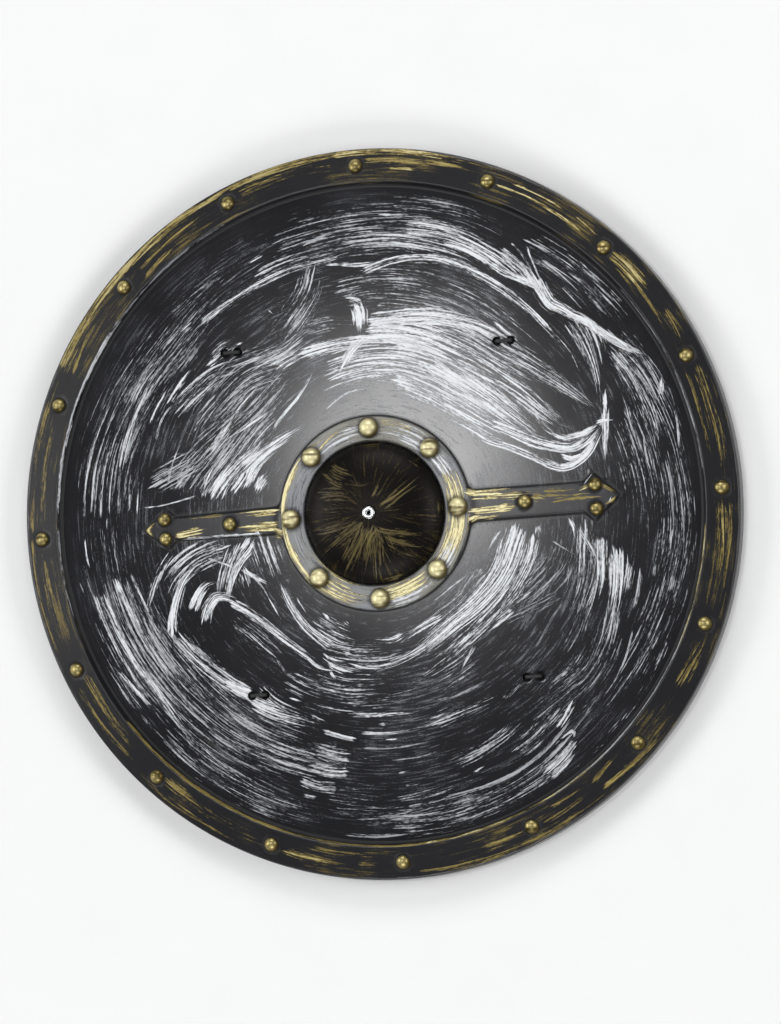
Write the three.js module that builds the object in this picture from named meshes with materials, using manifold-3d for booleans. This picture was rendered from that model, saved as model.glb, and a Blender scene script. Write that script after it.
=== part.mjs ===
// Round costume shield: one thin moulding of black plastic, with two webbing straps tied on behind it.
// Millimetres. It lies on its back edge with its face up: +Z out of the face, +X along the bars,
// the origin in the middle of the plane that the back edge lies on.

import * as THREE from 'three';
import { mergeVertices } from 'three/addons/utils/BufferGeometryUtils.js';
import Module from 'manifold-3d';

const wasm = await Module();
wasm.setup();

// Driving dimensions

const shield = { radius: 250, wall: 2, skirtHeight: 10, turns: 64 };
const rim = {
  innerRadius: 226.6, innerHeight: 17.8, outerHeight: 12.6, edgeRound: 1.5, stepRun: 1.8, wallUpright: 2.8,
  rivetCircle: 238.4, rivets: 16,
};
const field = { edgeHeight: 12.5, rise: 14, curvePoints: 4 };
const ring = {
  outerRadius: 66.2, innerRadius: 49.2, height: 3.5, edgeRound: 0.7, rivetCircle: 58.4, rivets: 8,
};
const boss = { radius: 48.5, grooveDepth: 2.2, rise: 17.5, curvePoints: 5 };
const bar = { height: 3, rootInsideRing: 5, arrowMitre: 1.6 };
const leftBar = {
  angle: Math.PI, rootHalf: 9.1, neckHalf: 7.8, neckAt: 141, barbHalf: 14, barbAt: 147, tipAt: 164,
  middleRivetAt: 102, endRivetAt: 148.6, endRivetSide: 6.7,
};
const rightBar = {
  angle: 0, rootHalf: 10.3, neckHalf: 10.3, neckAt: 144.5, barbHalf: 16.8, barbAt: 151, tipAt: 169,
  middleRivetAt: 104.5, endRivetAt: 153, endRivetSide: 8.3,
};
const rimRivet = { radius: 5.1, height: 3.8, sides: 10, steps: 2 };
const ringRivet = { radius: 6.7, height: 5, sides: 12, steps: 3 };
const barRivet = { radius: 4.8, height: 3.6, sides: 10, steps: 2 };
const rivetSink = 1;

const bossRivet = {
  flangeRadius: 4.3, flangeRound: 0.5, flangeThick: 0.9, barrelRadius: 2.2, boreRadius: 1.5,
  lipRadius: 3.3, lip: 1.1, sides: 16,
};
const bossHoleRadius = 2.5;

const strapHole = { radius: 3.1, spacing: 9.5, sides: 10 };
const strap = { width: 22, thick: 1.6, endBeyondHoles: 11, sag: 18.5, flatEnd: 14, holeRadius: 2, steps: 10 };
const tie = { cordRadius: 1.25, cornerRadius: 1.9, sides: 6, steps: 16 };
const corners = {
  upper_left: [-94.4, 117.4], lower_left: [-91.6, -117.8],
  upper_right: [96, 110.6], lower_right: [100.6, -118.5],
};
const clearance = 0.4;

// Heights of the face, worked out from the dimensions above

const fieldEdgeRadius = rim.innerRadius - rim.stepRun;
const ringTop = field.edgeHeight + field.rise + ring.height;
const bossBase = ringTop - boss.grooveDepth;
const bossRise = boss.rise + boss.grooveDepth;

function fieldHeight(radius) {
  const outer = fieldEdgeRadius ** 2;
  const inner = ring.outerRadius ** 2;
  return field.edgeHeight + field.rise * (outer - radius ** 2) / (outer - inner);
}

function fieldSlope(radius) {
  return Math.atan(2 * field.rise * radius / (fieldEdgeRadius ** 2 - ring.outerRadius ** 2));
}

const rimSlope = Math.atan((rim.innerHeight - rim.outerHeight) / (shield.radius - rim.innerRadius));

function rimHeight(radius) {
  return rim.innerHeight - (radius - rim.innerRadius) * Math.tan(rimSlope);
}

// Joining and cutting

const mergeTolerance = 1e-4;

function toSolid(geometry) {
  const bare = geometry.clone();
  bare.deleteAttribute('normal');
  bare.deleteAttribute('uv');
  const merged = mergeVertices(bare, mergeTolerance);
  const index = merged.index.array;
  const kept = [];
  for (let i = 0; i < index.length; i += 3) {
    const [a, b, c] = index.slice(i, i + 3);
    if (a !== b && b !== c && c !== a) kept.push(a, b, c);
  }
  return new wasm.Manifold(new wasm.Mesh({
    numProp: 3,
    vertProperties: merged.attributes.position.array,
    triVerts: Uint32Array.from(kept),
  }));
}

function toGeometry(solid) {
  const mesh = solid.getMesh();
  const geometry = new THREE.BufferGeometry();
  geometry.setAttribute('position', new THREE.BufferAttribute(mesh.vertProperties, 3));
  geometry.setIndex(new THREE.BufferAttribute(mesh.triVerts, 1));
  geometry.computeVertexNormals();
  return geometry;
}

// A closed outline of [radius, height] pairs turned round the Z axis
function revolve(outline, turns) {
  const points = outline.map(([radius, height]) => new THREE.Vector2(radius, height));
  return new THREE.LatheGeometry(points, turns).rotateX(Math.PI / 2);
}

function cylinder(radius, low, high, sides) {
  return revolve([[0, low], [radius, low], [radius, high], [0, high]], sides);
}

// Shell

function fieldCurve(drop, startRadius, endRadius) {
  const points = [];
  for (let i = 0; i <= field.curvePoints; i += 1) {
    const radius = startRadius + (endRadius - startRadius) * i / field.curvePoints;
    points.push([radius, fieldHeight(radius) - drop]);
  }
  return points;
}

// The dome's half outline, from its foot to the hole at its top
function bossCurve(drop) {
  const points = [];
  const last = Math.acos(bossHoleRadius / (boss.radius - drop));
  for (let i = 0; i <= boss.curvePoints; i += 1) {
    const angle = last * i / boss.curvePoints;
    points.push([(boss.radius - drop) * Math.cos(angle), bossBase + (bossRise - drop) * Math.sin(angle)]);
  }
  return points;
}

function shellOutline() {
  const round = rim.edgeRound;
  const wall = shield.wall;
  const front = [
    [shield.radius, 0],
    [shield.radius, shield.skirtHeight],
    [shield.radius - round, rimHeight(shield.radius - round)],
    [rim.innerRadius + round, rimHeight(rim.innerRadius + round)],
    [rim.innerRadius, rim.innerHeight - round / 2],
    ...fieldCurve(0, fieldEdgeRadius, ring.outerRadius + ring.edgeRound),
    [ring.outerRadius, ringTop - ring.edgeRound],
    [ring.outerRadius - ring.edgeRound, ringTop],
    [ring.innerRadius + ring.edgeRound, ringTop],
    [ring.innerRadius, ringTop - ring.edgeRound],
    [ring.innerRadius, bossBase],
    ...bossCurve(0),
  ];
  const back = [
    ...bossCurve(wall).reverse(),
    [boss.radius - wall, bossBase - wall],
    [ring.innerRadius + wall, bossBase - wall],
    [ring.innerRadius + wall, ringTop - wall],
    [ring.outerRadius - wall, ringTop - wall],
    ...fieldCurve(wall, fieldEdgeRadius, ring.outerRadius - wall).reverse(),
    [rim.innerRadius + wall, rim.innerHeight - rim.wallUpright],
    [shield.radius - wall, rimHeight(shield.radius) - rim.wallUpright],
    [shield.radius - wall, 0],
  ];
  return [...front, ...back, front[0]];
}

// One imitation rivet head, standing on its own base plane
function rivetHead({ radius, height, sides, steps }) {
  const sphere = (radius ** 2 + height ** 2) / (2 * height);
  const spread = Math.asin(radius / sphere);
  const outline = [[0, -rivetSink], [radius, -rivetSink]];
  for (let i = 0; i <= steps; i += 1) {
    const angle = spread * (1 - i / steps);
    outline.push([sphere * Math.sin(angle), height - sphere + sphere * Math.cos(angle)]);
  }
  return revolve(outline, sides);
}

function rivetCircle(head, count, radius, height, lean) {
  const heads = [];
  for (let i = 0; i < count; i += 1) {
    const placed = rivetHead(head).rotateY(lean).translate(radius, 0, height);
    heads.push(placed.rotateZ(2 * Math.PI * i / count));
  }
  return heads;
}

// A disc that follows the field, from a depth below its face to a height above it
function fieldLayer(depth, lift) {
  const outside = rightBar.tipAt + rivetSink;
  const bottom = fieldCurve(depth, ring.innerRadius, outside);
  const top = fieldCurve(-lift, outside, ring.innerRadius);
  return revolve([[0, bottom[0][1]], ...bottom, ...top, [0, top.at(-1)[1]]], shield.turns);
}

// The bar's plan, from under the ring out to its arrow end, drawn in by an inset for the hollow behind it
function barPlan(size, inset) {
  const start = ring.outerRadius - bar.rootInsideRing;
  const half = [
    [start, size.rootHalf - inset],
    [size.neckAt, size.neckHalf - inset],
    [size.barbAt + inset, size.barbHalf - bar.arrowMitre * inset],
    [size.tipAt - bar.arrowMitre * inset, 0],
  ];
  const lower = half.map(([x, y]) => new THREE.Vector2(x, -y));
  const upper = half.slice(0, -1).reverse().map(([x, y]) => new THREE.Vector2(x, y));
  return new THREE.Shape([...lower, ...upper]);
}

function barSolid(size, inset, depth, lift) {
  const plan = new THREE.ExtrudeGeometry(barPlan(size, inset), { depth: 2 * ringTop, bevelEnabled: false });
  return toSolid(plan.rotateZ(size.angle)).intersect(toSolid(fieldLayer(depth, lift)));
}

function barRivets(size) {
  const places = [
    [size.middleRivetAt, 0], [size.endRivetAt, size.endRivetSide], [size.endRivetAt, -size.endRivetSide],
  ];
  return places.map(([x, y]) => {
    const radius = Math.hypot(x, y);
    return rivetHead(barRivet).rotateY(fieldSlope(radius))
      .translate(x, y, fieldHeight(radius) + bar.height).rotateZ(size.angle);
  });
}

// Upright cutters for a pair of holes, side by side along X, at each place
function holePairs(places, radius) {
  return places.flatMap(([x, y]) => [-1, 1].map((side) => {
    const cutter = cylinder(radius, 0, 2 * ringTop, strapHole.sides);
    return cutter.translate(x + side * strapHole.spacing / 2, y, 0);
  }));
}

function shellSolid() {
  let solid = toSolid(revolve(shellOutline(), shield.turns));
  const bars = [leftBar, rightBar];
  for (const size of bars) solid = solid.add(barSolid(size, 0, shield.wall / 2, bar.height));
  for (const size of bars) {
    solid = solid.subtract(barSolid(size, shield.wall, 2 * shield.wall, bar.height - shield.wall));
  }
  const heads = [
    ...rivetCircle(rimRivet, rim.rivets, rim.rivetCircle, rimHeight(rim.rivetCircle), rimSlope),
    ...rivetCircle(ringRivet, ring.rivets, ring.rivetCircle, ringTop, 0),
    ...barRivets(leftBar),
    ...barRivets(rightBar),
  ];
  for (const head of heads) solid = solid.add(toSolid(head));
  for (const hole of holePairs(Object.values(corners), strapHole.radius)) {
    solid = solid.subtract(toSolid(hole));
  }
  return solid;
}

// Tubular rivet through the boss: a flange in front, a barrel, and a rolled lip behind

function bossRivetGeometry() {
  const seat = bossBase + bossRise + clearance;
  const back = bossBase + bossRise - shield.wall - clearance;
  return revolve([
    [bossRivet.boreRadius, seat + bossRivet.flangeThick],
    [bossRivet.boreRadius, back - bossRivet.lip],
    [bossRivet.lipRadius, back - bossRivet.lip],
    [bossRivet.lipRadius, back],
    [bossRivet.barrelRadius, back],
    [bossRivet.barrelRadius, seat],
    [bossRivet.flangeRadius, seat],
    [bossRivet.flangeRadius - bossRivet.flangeRound, seat + bossRivet.flangeThick],
    [bossRivet.boreRadius, seat + bossRivet.flangeThick],
  ], bossRivet.sides);
}

// Straps and ties

// Highest the webbing can lie at a place behind the field and still clear it over its whole width
function strapTopAt(x, y) {
  return fieldHeight(Math.hypot(Math.abs(x) + strap.width / 2, y)) - shield.wall - clearance;
}

// The webbing's top line, as [distance along, height]: it follows the field's back and sags between its ends
function strapLine(middle, direction, half) {
  const hung = half - strap.flatEnd;
  const stops = [-half - strap.endBeyondHoles, -half];
  for (let i = 0; i <= strap.steps; i += 1) stops.push(hung * (2 * i / strap.steps - 1));
  stops.push(half, half + strap.endBeyondHoles);
  return stops.map((along) => {
    const place = direction.clone().multiplyScalar(along).add(middle);
    const slack = strap.sag * Math.max(0, 1 - (along / hung) ** 2) ** 2;
    return [along, strapTopAt(place.x, place.y) - slack];
  });
}

function strapGeometry(upper, lower) {
  const top = new THREE.Vector2(...upper);
  const bottom = new THREE.Vector2(...lower);
  const middle = top.clone().add(bottom).divideScalar(2);
  const direction = top.clone().sub(bottom).normalize();
  const line = strapLine(middle, direction, top.distanceTo(bottom) / 2);
  const outline = [
    ...line.map(([along, height]) => new THREE.Vector2(along, height - strap.thick)),
    ...line.reverse().map(([along, height]) => new THREE.Vector2(along, height)),
  ];
  const side = new THREE.Shape(outline);
  const webbing = new THREE.ExtrudeGeometry(side, { depth: strap.width, bevelEnabled: false });
  webbing.translate(0, 0, -strap.width / 2).rotateX(Math.PI / 2);
  let solid = toSolid(webbing.rotateZ(direction.angle()).translate(middle.x, middle.y, 0));
  for (const hole of holePairs([upper, lower], strap.holeRadius)) solid = solid.subtract(toSolid(hole));
  return toGeometry(solid);
}

// A cord stitch: a ring drawn out into a rounded oblong, round the shell in front and the strap behind
function drawnOut(value, stretch) {
  return Math.abs(value) < mergeTolerance ? value : value + stretch * Math.sign(value);
}

function tieGeometry([x, y]) {
  const high = fieldHeight(Math.hypot(x, y)) + clearance + tie.cordRadius;
  const low = strapTopAt(x, y) - strap.thick - clearance - tie.cordRadius;
  const stretchX = strapHole.spacing / 2 - tie.cornerRadius;
  const stretchZ = (high - low) / 2 - tie.cornerRadius;
  const loop = new THREE.TorusGeometry(tie.cornerRadius, tie.cordRadius, tie.sides, tie.steps);
  const position = loop.attributes.position;
  for (let i = 0; i < position.count; i += 1) {
    position.setX(i, drawnOut(position.getX(i), stretchX));
    position.setY(i, drawnOut(position.getY(i), stretchZ));
  }
  return toGeometry(toSolid(loop.rotateX(Math.PI / 2).translate(x, y, (high + low) / 2)));
}

// Materials and the finished group

const blackPlastic = new THREE.MeshStandardMaterial({ color: 0x2a2b2f, roughness: 0.42, metalness: 0 });
const nickel = new THREE.MeshStandardMaterial({ color: 0xcfd2d6, roughness: 0.22, metalness: 1 });
const blackWebbing = new THREE.MeshStandardMaterial({ color: 0x17171a, roughness: 0.85, metalness: 0 });
const blackCord = new THREE.MeshStandardMaterial({ color: 0x1a1a1c, roughness: 0.7, metalness: 0 });

function named(name, geometry, material) {
  const mesh = new THREE.Mesh(geometry, material);
  mesh.name = name;
  return mesh;
}

const buckler = new THREE.Group();
buckler.add(named('shield_shell', toGeometry(shellSolid()), blackPlastic));
buckler.add(named('boss_rivet', toGeometry(toSolid(bossRivetGeometry())), nickel));

for (const side of ['left', 'right']) {
  const upper = corners[`upper_${side}`];
  const lower = corners[`lower_${side}`];
  buckler.add(named(`strap_${side}`, strapGeometry(upper, lower), blackWebbing));
  buckler.add(named(`tie_upper_${side}`, tieGeometry(upper), blackCord));
  buckler.add(named(`tie_lower_${side}`, tieGeometry(lower), blackCord));
}

export default buckler;
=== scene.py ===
"""A round costume shield of moulded black plastic, brushed with silver and gold paint.

Metres. The shield lies on its back edge with its face up, and its two arrow-ended bars run along X.
Its straps and their cord ties are behind it.
"""

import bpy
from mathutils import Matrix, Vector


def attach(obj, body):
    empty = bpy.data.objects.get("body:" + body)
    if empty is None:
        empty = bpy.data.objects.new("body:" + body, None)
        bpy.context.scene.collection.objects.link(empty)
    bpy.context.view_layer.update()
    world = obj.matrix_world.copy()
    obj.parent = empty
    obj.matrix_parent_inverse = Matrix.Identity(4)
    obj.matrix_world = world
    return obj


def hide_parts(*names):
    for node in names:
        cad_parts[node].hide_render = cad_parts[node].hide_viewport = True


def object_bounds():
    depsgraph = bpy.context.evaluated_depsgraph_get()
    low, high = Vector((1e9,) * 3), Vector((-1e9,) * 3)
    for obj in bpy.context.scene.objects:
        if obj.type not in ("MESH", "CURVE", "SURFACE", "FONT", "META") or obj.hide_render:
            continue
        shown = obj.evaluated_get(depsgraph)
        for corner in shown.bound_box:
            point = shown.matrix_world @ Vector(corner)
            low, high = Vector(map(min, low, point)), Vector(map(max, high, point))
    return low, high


bl_info = {
    "name": "Buckler Shield",
    "version": (1, 0, 0),
    "blender": (4, 5, 0),
    "location": "3D View > Sidebar > Buckler",
    "description": "Builds a moulded costume shield with its straps, cord ties and brushed paint",
    "category": "Object",
}

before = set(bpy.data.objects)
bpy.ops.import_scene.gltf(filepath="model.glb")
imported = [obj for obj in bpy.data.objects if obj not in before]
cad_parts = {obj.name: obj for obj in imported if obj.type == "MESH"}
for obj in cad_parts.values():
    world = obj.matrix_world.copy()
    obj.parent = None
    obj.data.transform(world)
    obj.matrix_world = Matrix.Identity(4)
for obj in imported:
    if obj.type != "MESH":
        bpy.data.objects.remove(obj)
cad_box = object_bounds()

import math
from collections import namedtuple

import bmesh
import bpy
import numpy as np
from bpy.props import FloatProperty, FloatVectorProperty, PointerProperty
from mathutils import Matrix, Vector
from mathutils.geometry import delaunay_2d_cdt

MM = 0.001
FULL_TURN = 2 * math.pi

# Fixed shapes of the moulding, in millimetres

Bar = namedtuple("Bar", (
    "angle", "root_half", "neck_half", "neck_at", "barb_half", "barb_at", "tip_at", "rivet_at",
    "end_rivet_at", "end_rivet_side",
))
LEFT_BAR = Bar(math.pi, 9.1, 7.8, 141, 14, 147, 164, 102, 148.6, 6.7)
RIGHT_BAR = Bar(0, 10.3, 10.3, 144.5, 16.8, 151, 169, 104.5, 153, 8.3)
BAR_START = 61.2
ROOT_FILLET = 5.0

Head = namedtuple("Head", "radius height")
RIM_HEAD = Head(5.1, 3.8)
RING_HEAD = Head(6.7, 5.0)
BAR_HEAD = Head(4.8, 3.6)
RIM_HEAD_CIRCLE = 238.4
RIM_HEADS = 16
RING_HEAD_CIRCLE = 58.4
RING_HEADS = 8

HOLE_PAIRS = {
    "upper_left": (-94.4, 117.4),
    "lower_left": (-91.6, -117.8),
    "upper_right": (96.0, 110.6),
    "lower_right": (100.6, -118.5),
}
HOLE_RADIUS = 3.1
HOLE_SPACING = 9.5
BOSS_HOLE_RADIUS = 2.5

# Walls between forms, as (lower, upper) edge in millimetres from the wall's line

RAISED_WALL = (-0.5, 0.9)
RAISED_WALL_BACK = (-0.8, 1.2)
RING_WALL = (-0.45, 0.7)
RING_WALL_BACK = (-0.6, 0.8)

# Radii in metres between which one height passes into the next

RIM_STEP = (0.2244, 0.2276)
RIM_STEP_BACK = (0.2252, 0.2288)
BAR_ROOT = (0.064, 0.071)
BAR_ROOT_BACK = (0.062, 0.071)

# Small reliefs in millimetres, and shares of a radius that mark where they begin

CREVICE_OFFSET = 0.2
CREVICE_DEPTH = 0.22
CREVICE_WIDTH = 0.45
PUNCHED_LIP = 0.28
PUNCHED_LIP_WIDTH = 0.8
UNDER_RIM_GAP = 0.8
HEAD_INSET = 1.5
HEAD_EDGE_SHARE = 0.99
DOME_EDGE_SHARE = 0.9999


# Settings


def length_setting(name, description, default, precision=4):
    return FloatProperty(
        name=name, description=description, default=default, unit="LENGTH", precision=precision
    )


def angle_setting(name, description, degrees):
    return FloatProperty(
        name=name, description=description, default=math.radians(degrees), subtype="ANGLE"
    )


def colour_setting(name, description, default):
    return FloatVectorProperty(
        name=name, description=description, default=default, subtype="COLOR", size=3
    )


class BucklerMoulding(bpy.types.PropertyGroup):
    """Sizes of the plastic moulding"""

    radius: length_setting("Outer radius", "Middle to the outer edge", cad_box[1].x)
    wall: length_setting("Wall", "Thickness of the plastic sheet", 0.002)
    skirt_height: length_setting("Skirt height", "Back edge to the rim's outer corner", 0.010)
    rim_inner: length_setting("Rim inner radius", "Where the rim band steps down to the field", 0.2266)
    rim_inner_height: length_setting("Rim inner height", "Height of the rim band at its inner edge", 0.0178)
    rim_outer_height: length_setting("Rim outer height", "Height of the rim band at the outer edge", 0.0126)
    edge_round: length_setting("Edge round", "Width of the rim's rounded outer corner", 0.0015)
    field_edge: length_setting("Field edge radius", "Where the field meets the rim's step", 0.2248)
    field_edge_height: length_setting("Field edge height", "Height of the field beside the rim", 0.0125)
    field_rise: length_setting("Field rise", "How far the field rises from the rim to the ring", 0.014)
    ring_outer: length_setting("Ring outer radius", "Outer radius of the ring round the boss", 0.0662)
    ring_inner: length_setting("Ring inner radius", "Inner radius of the ring round the boss", 0.0492)
    ring_height: length_setting("Ring height", "How far the ring stands above the field", 0.0035)
    boss_radius: length_setting("Boss radius", "Radius of the dome's foot", 0.0485)
    boss_rise: length_setting("Boss rise", "How far the dome stands above the ring", 0.0175)
    groove_depth: length_setting("Groove depth", "Depth of the groove between ring and dome", 0.0022)
    bar_height: length_setting("Bar height", "How far the bars stand above the field", 0.003)
    face_spacing: length_setting("Face spacing", "Distance between surface points on the face", 0.00235, 5)
    back_spacing: length_setting("Back spacing", "Distance between surface points on the back", 0.0046, 5)


class BucklerStraps(bpy.types.PropertyGroup):
    """Sizes of the webbing straps, cord ties and boss rivet"""

    width: length_setting("Strap width", "Width of the webbing", 0.022)
    thick: length_setting("Strap thickness", "Thickness of the webbing", 0.0016)
    sag: length_setting("Strap sag", "How far the webbing hangs below the field's back", 0.0185)
    clearance: length_setting("Clearance", "Gap between touching pieces", 0.0004, 5)
    cord_radius: length_setting("Cord radius", "Radius of the tie cord", 0.00125, 5)
    rivet_radius: length_setting("Rivet flange radius", "Radius of the boss rivet's flange", 0.0043, 5)
    rivet_bore: length_setting("Rivet bore radius", "Radius of the hole through the boss rivet", 0.0015, 5)


class BucklerColours(bpy.types.PropertyGroup):
    """Colours of the plastic, the paints, the webbing and the rivet"""

    plastic: colour_setting("Plastic", "Bare plastic", (0.009, 0.009, 0.0108))
    silver: colour_setting("Silver paint", "Brightest silver brush stroke", (0.80, 0.82, 0.85))
    pewter: colour_setting("Thin silver", "Silver paint dragged thin", (0.13, 0.135, 0.15))
    pale_gold: colour_setting("Pale gold", "Brightest gold brush stroke", (0.86, 0.78, 0.44))
    gold: colour_setting("Gold paint", "Gold brush stroke", (0.31, 0.24, 0.066))
    bronze: colour_setting("Thin gold", "Gold paint dragged thin", (0.085, 0.060, 0.014))
    webbing: colour_setting("Webbing", "Strap yarn", (0.012, 0.012, 0.013))
    cord: colour_setting("Cord", "Tie cord yarn", (0.012, 0.012, 0.0125))
    nickel: colour_setting("Nickel", "Plated boss rivet", (0.72, 0.73, 0.74))


class BucklerStage(bpy.types.PropertyGroup):
    """The camera's place and the strength of the lights"""

    distance: length_setting("Camera distance", "Shield to camera", 6.0, 2)
    turn: angle_setting("Turn", "Turn of the shield in the picture", 4.3)
    side_tilt: angle_setting("Side tilt", "Tilt about the picture's upright axis", -12.7)
    fore_tilt: angle_setting("Fore tilt", "Tilt about the picture's level axis", -1.2)
    key_strength: FloatProperty(
        name="Key strength", description="Radiance of the overhead softbox", default=15.0
    )
    rim_strength: FloatProperty(
        name="Surround strength", description="Radiance of the low side lights", default=5.8
    )


# Heights of the moulding


def smoothstep(value, low, high):
    share = np.clip((value - low) / (high - low), 0, 1)
    return share * share * (3 - 2 * share)


def over_wall(distance, line, wall):
    """How far up a wall each distance is, from 0 at its lower edge to 1 at its upper one."""
    return smoothstep(distance, line + wall[0] * MM, line + wall[1] * MM)


def mixed(first, second, share):
    return first + (second - first) * share


def filleted_union(first, second, fillet):
    """Joins two inside distances, with a fillet where their outlines cross."""
    share = np.clip(0.5 + 0.5 * (first - second) / fillet, 0, 1)
    return mixed(second, first, share) + fillet * share * (1 - share)


def field_height(size, radius):
    outer = size.field_edge ** 2
    inner = size.ring_outer ** 2
    return size.field_edge_height + size.field_rise * (outer - radius ** 2) / (outer - inner)


def rim_height(size, radius):
    slope = (size.rim_inner_height - size.rim_outer_height) / (size.radius - size.rim_inner)
    return size.rim_inner_height - (radius - size.rim_inner) * slope


def ring_top(size):
    return size.field_edge_height + size.field_rise + size.ring_height


def boss_base(size):
    return ring_top(size) - size.groove_depth


def boss_full_rise(size):
    return size.boss_rise + size.groove_depth


def bar_outline(bar):
    """Corners of a bar with its arrow end, anticlockwise from the lower root."""
    upper = [
        (BAR_START, bar.root_half), (bar.neck_at, bar.neck_half), (bar.barb_at, bar.barb_half),
        (bar.tip_at, 0),
    ]
    lower = [(x, -y) for x, y in upper]
    plan = np.array(lower + upper[-2::-1]) * MM
    cosine, sine = math.cos(bar.angle), math.sin(bar.angle)
    return plan @ np.array([[cosine, sine], [-sine, cosine]])


def inside_outline(points, outline):
    """How far inside a closed outline each point lies, negative outside it."""
    nearest = np.full(len(points), np.inf)
    inside = np.zeros(len(points), bool)
    for start, end in zip(outline, np.roll(outline, -1, axis=0)):
        along = end - start
        offset = points - start
        share = np.clip(offset @ along / (along @ along), 0, 1)
        nearest = np.minimum(nearest, np.hypot(*(offset - share[:, None] * along).T))
        crosses = (start[1] > points[:, 1]) != (end[1] > points[:, 1])
        if along[1]:
            inside ^= crosses & (points[:, 0] < start[0] + (points[:, 1] - start[1]) * along[0] / along[1])
    return np.where(inside, nearest, -nearest)


def raised_distance(size, points):
    """How far each point lies inside the outline of the ring and the bars together."""
    distance = size.ring_outer - np.hypot(*points.T)
    for bar in (LEFT_BAR, RIGHT_BAR):
        distance = filleted_union(inside_outline(points, bar_outline(bar)), distance, ROOT_FILLET * MM)
    return distance


def circle(radius, count, centre=(0, 0), shift=0.0):
    angle = (np.arange(count) + shift) * FULL_TURN / count
    return np.column_stack((centre[0] + radius * np.cos(angle), centre[1] + radius * np.sin(angle)))


def level_circle(radius, height, count):
    return np.column_stack((circle(radius, count), np.full(count, height)))


def head_places():
    """Every imitation rivet head, as (x, y, head) in metres."""
    places = [(*p, RIM_HEAD) for p in circle(RIM_HEAD_CIRCLE * MM, RIM_HEADS)]
    places += [(*p, RING_HEAD) for p in circle(RING_HEAD_CIRCLE * MM, RING_HEADS)]
    for bar in (LEFT_BAR, RIGHT_BAR):
        side = math.cos(bar.angle)
        places.append((side * bar.rivet_at * MM, 0, BAR_HEAD))
        for y in (-bar.end_rivet_side, bar.end_rivet_side):
            places.append((side * bar.end_rivet_at * MM, y * MM, BAR_HEAD))
    return places


def hole_centres():
    half = HOLE_SPACING / 2
    return [((x + side * half) * MM, y * MM) for x, y in HOLE_PAIRS.values() for side in (-1, 1)]


def head_rise(head, distance, inset=0.0):
    """Height of a rivet head's cap at a distance from its axis."""
    radius = (head.radius - inset) * MM
    height = (head.height - inset) * MM
    sphere = (radius ** 2 + height ** 2) / (2 * height)
    near = np.minimum(distance, radius)
    return np.where(distance < radius, np.sqrt(sphere ** 2 - near ** 2) - (sphere - height), 0.0)


def raised_top(size, radius, root):
    """Height of the ring's top inside the bars' root and of the bars' tops outside it."""
    return mixed(ring_top(size), field_height(size, radius) + size.bar_height, smoothstep(radius, *root))


def face_height(size, points):
    """Height of the moulding's face at each point."""
    radius = np.hypot(*points.T)
    height = mixed(field_height(size, radius), rim_height(size, radius), smoothstep(radius, *RIM_STEP))
    corner = size.radius - size.edge_round
    over = np.clip((radius - corner) / size.edge_round, 0, 1)
    rounded = mixed(size.skirt_height, rim_height(size, corner), np.sqrt(1 - over ** 2))
    height = np.where(radius > corner, rounded, height)

    raised = over_wall(raised_distance(size, points), 0, RAISED_WALL)
    height = mixed(height, raised_top(size, radius, BAR_ROOT), raised)

    share = np.clip(radius / size.boss_radius, 0, 1)
    dome = boss_base(size) + boss_full_rise(size) * np.sqrt(1 - share ** 2)
    inner = mixed(dome, ring_top(size), over_wall(radius, size.ring_inner, RING_WALL))
    height = np.where(radius < size.ring_inner + RING_WALL[1] * MM, inner, height)

    for x, y, head in head_places():
        distance = np.hypot(points[:, 0] - x, points[:, 1] - y)
        height = height + head_rise(head, distance)
        outside = (distance - head.radius * MM - CREVICE_OFFSET * MM) / (CREVICE_WIDTH * MM)
        dent = CREVICE_DEPTH * MM * np.exp(-outside ** 2)
        height = height - dent * (distance > head.radius * MM * HEAD_EDGE_SHARE)
    for x, y in hole_centres():
        distance = np.hypot(points[:, 0] - x, points[:, 1] - y)
        flat = smoothstep(distance, HOLE_RADIUS * MM, (HOLE_RADIUS + PUNCHED_LIP_WIDTH) * MM)
        height = height - PUNCHED_LIP * MM * (1 - flat)
    return height


def back_height(size, points):
    """Height of the moulding's back at each point."""
    wall = size.wall
    radius = np.hypot(*points.T)
    under_rim = rim_height(size, radius) - wall - UNDER_RIM_GAP * MM
    height = mixed(field_height(size, radius) - wall, under_rim, smoothstep(radius, *RIM_STEP_BACK))

    raised = over_wall(raised_distance(size, points) - wall, 0, RAISED_WALL_BACK)
    height = mixed(height, raised_top(size, radius, BAR_ROOT_BACK) - wall, raised)

    foot = size.boss_radius - wall
    share = np.clip(radius / foot, 0, 1)
    dome = boss_base(size) + (boss_full_rise(size) - wall) * np.sqrt(1 - share ** 2)
    dome = np.where(radius < foot * DOME_EDGE_SHARE, dome, boss_base(size) - wall)
    recess = over_wall(radius, size.ring_inner + wall, RING_WALL_BACK)
    inner = mixed(dome, ring_top(size) - wall, recess)
    height = np.where(radius < size.ring_inner + wall + RING_WALL_BACK[1] * MM, inner, height)

    for x, y, head in head_places():
        distance = np.hypot(points[:, 0] - x, points[:, 1] - y)
        height = height + head_rise(head, distance, HEAD_INSET)
    return height


# Points and faces of the moulding

EDGE_COUNT = 600
HOLE_COUNT = 28
BOSS_HOLE_COUNT = 32

# Radii of circles of points where the forms bend, in millimetres

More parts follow.
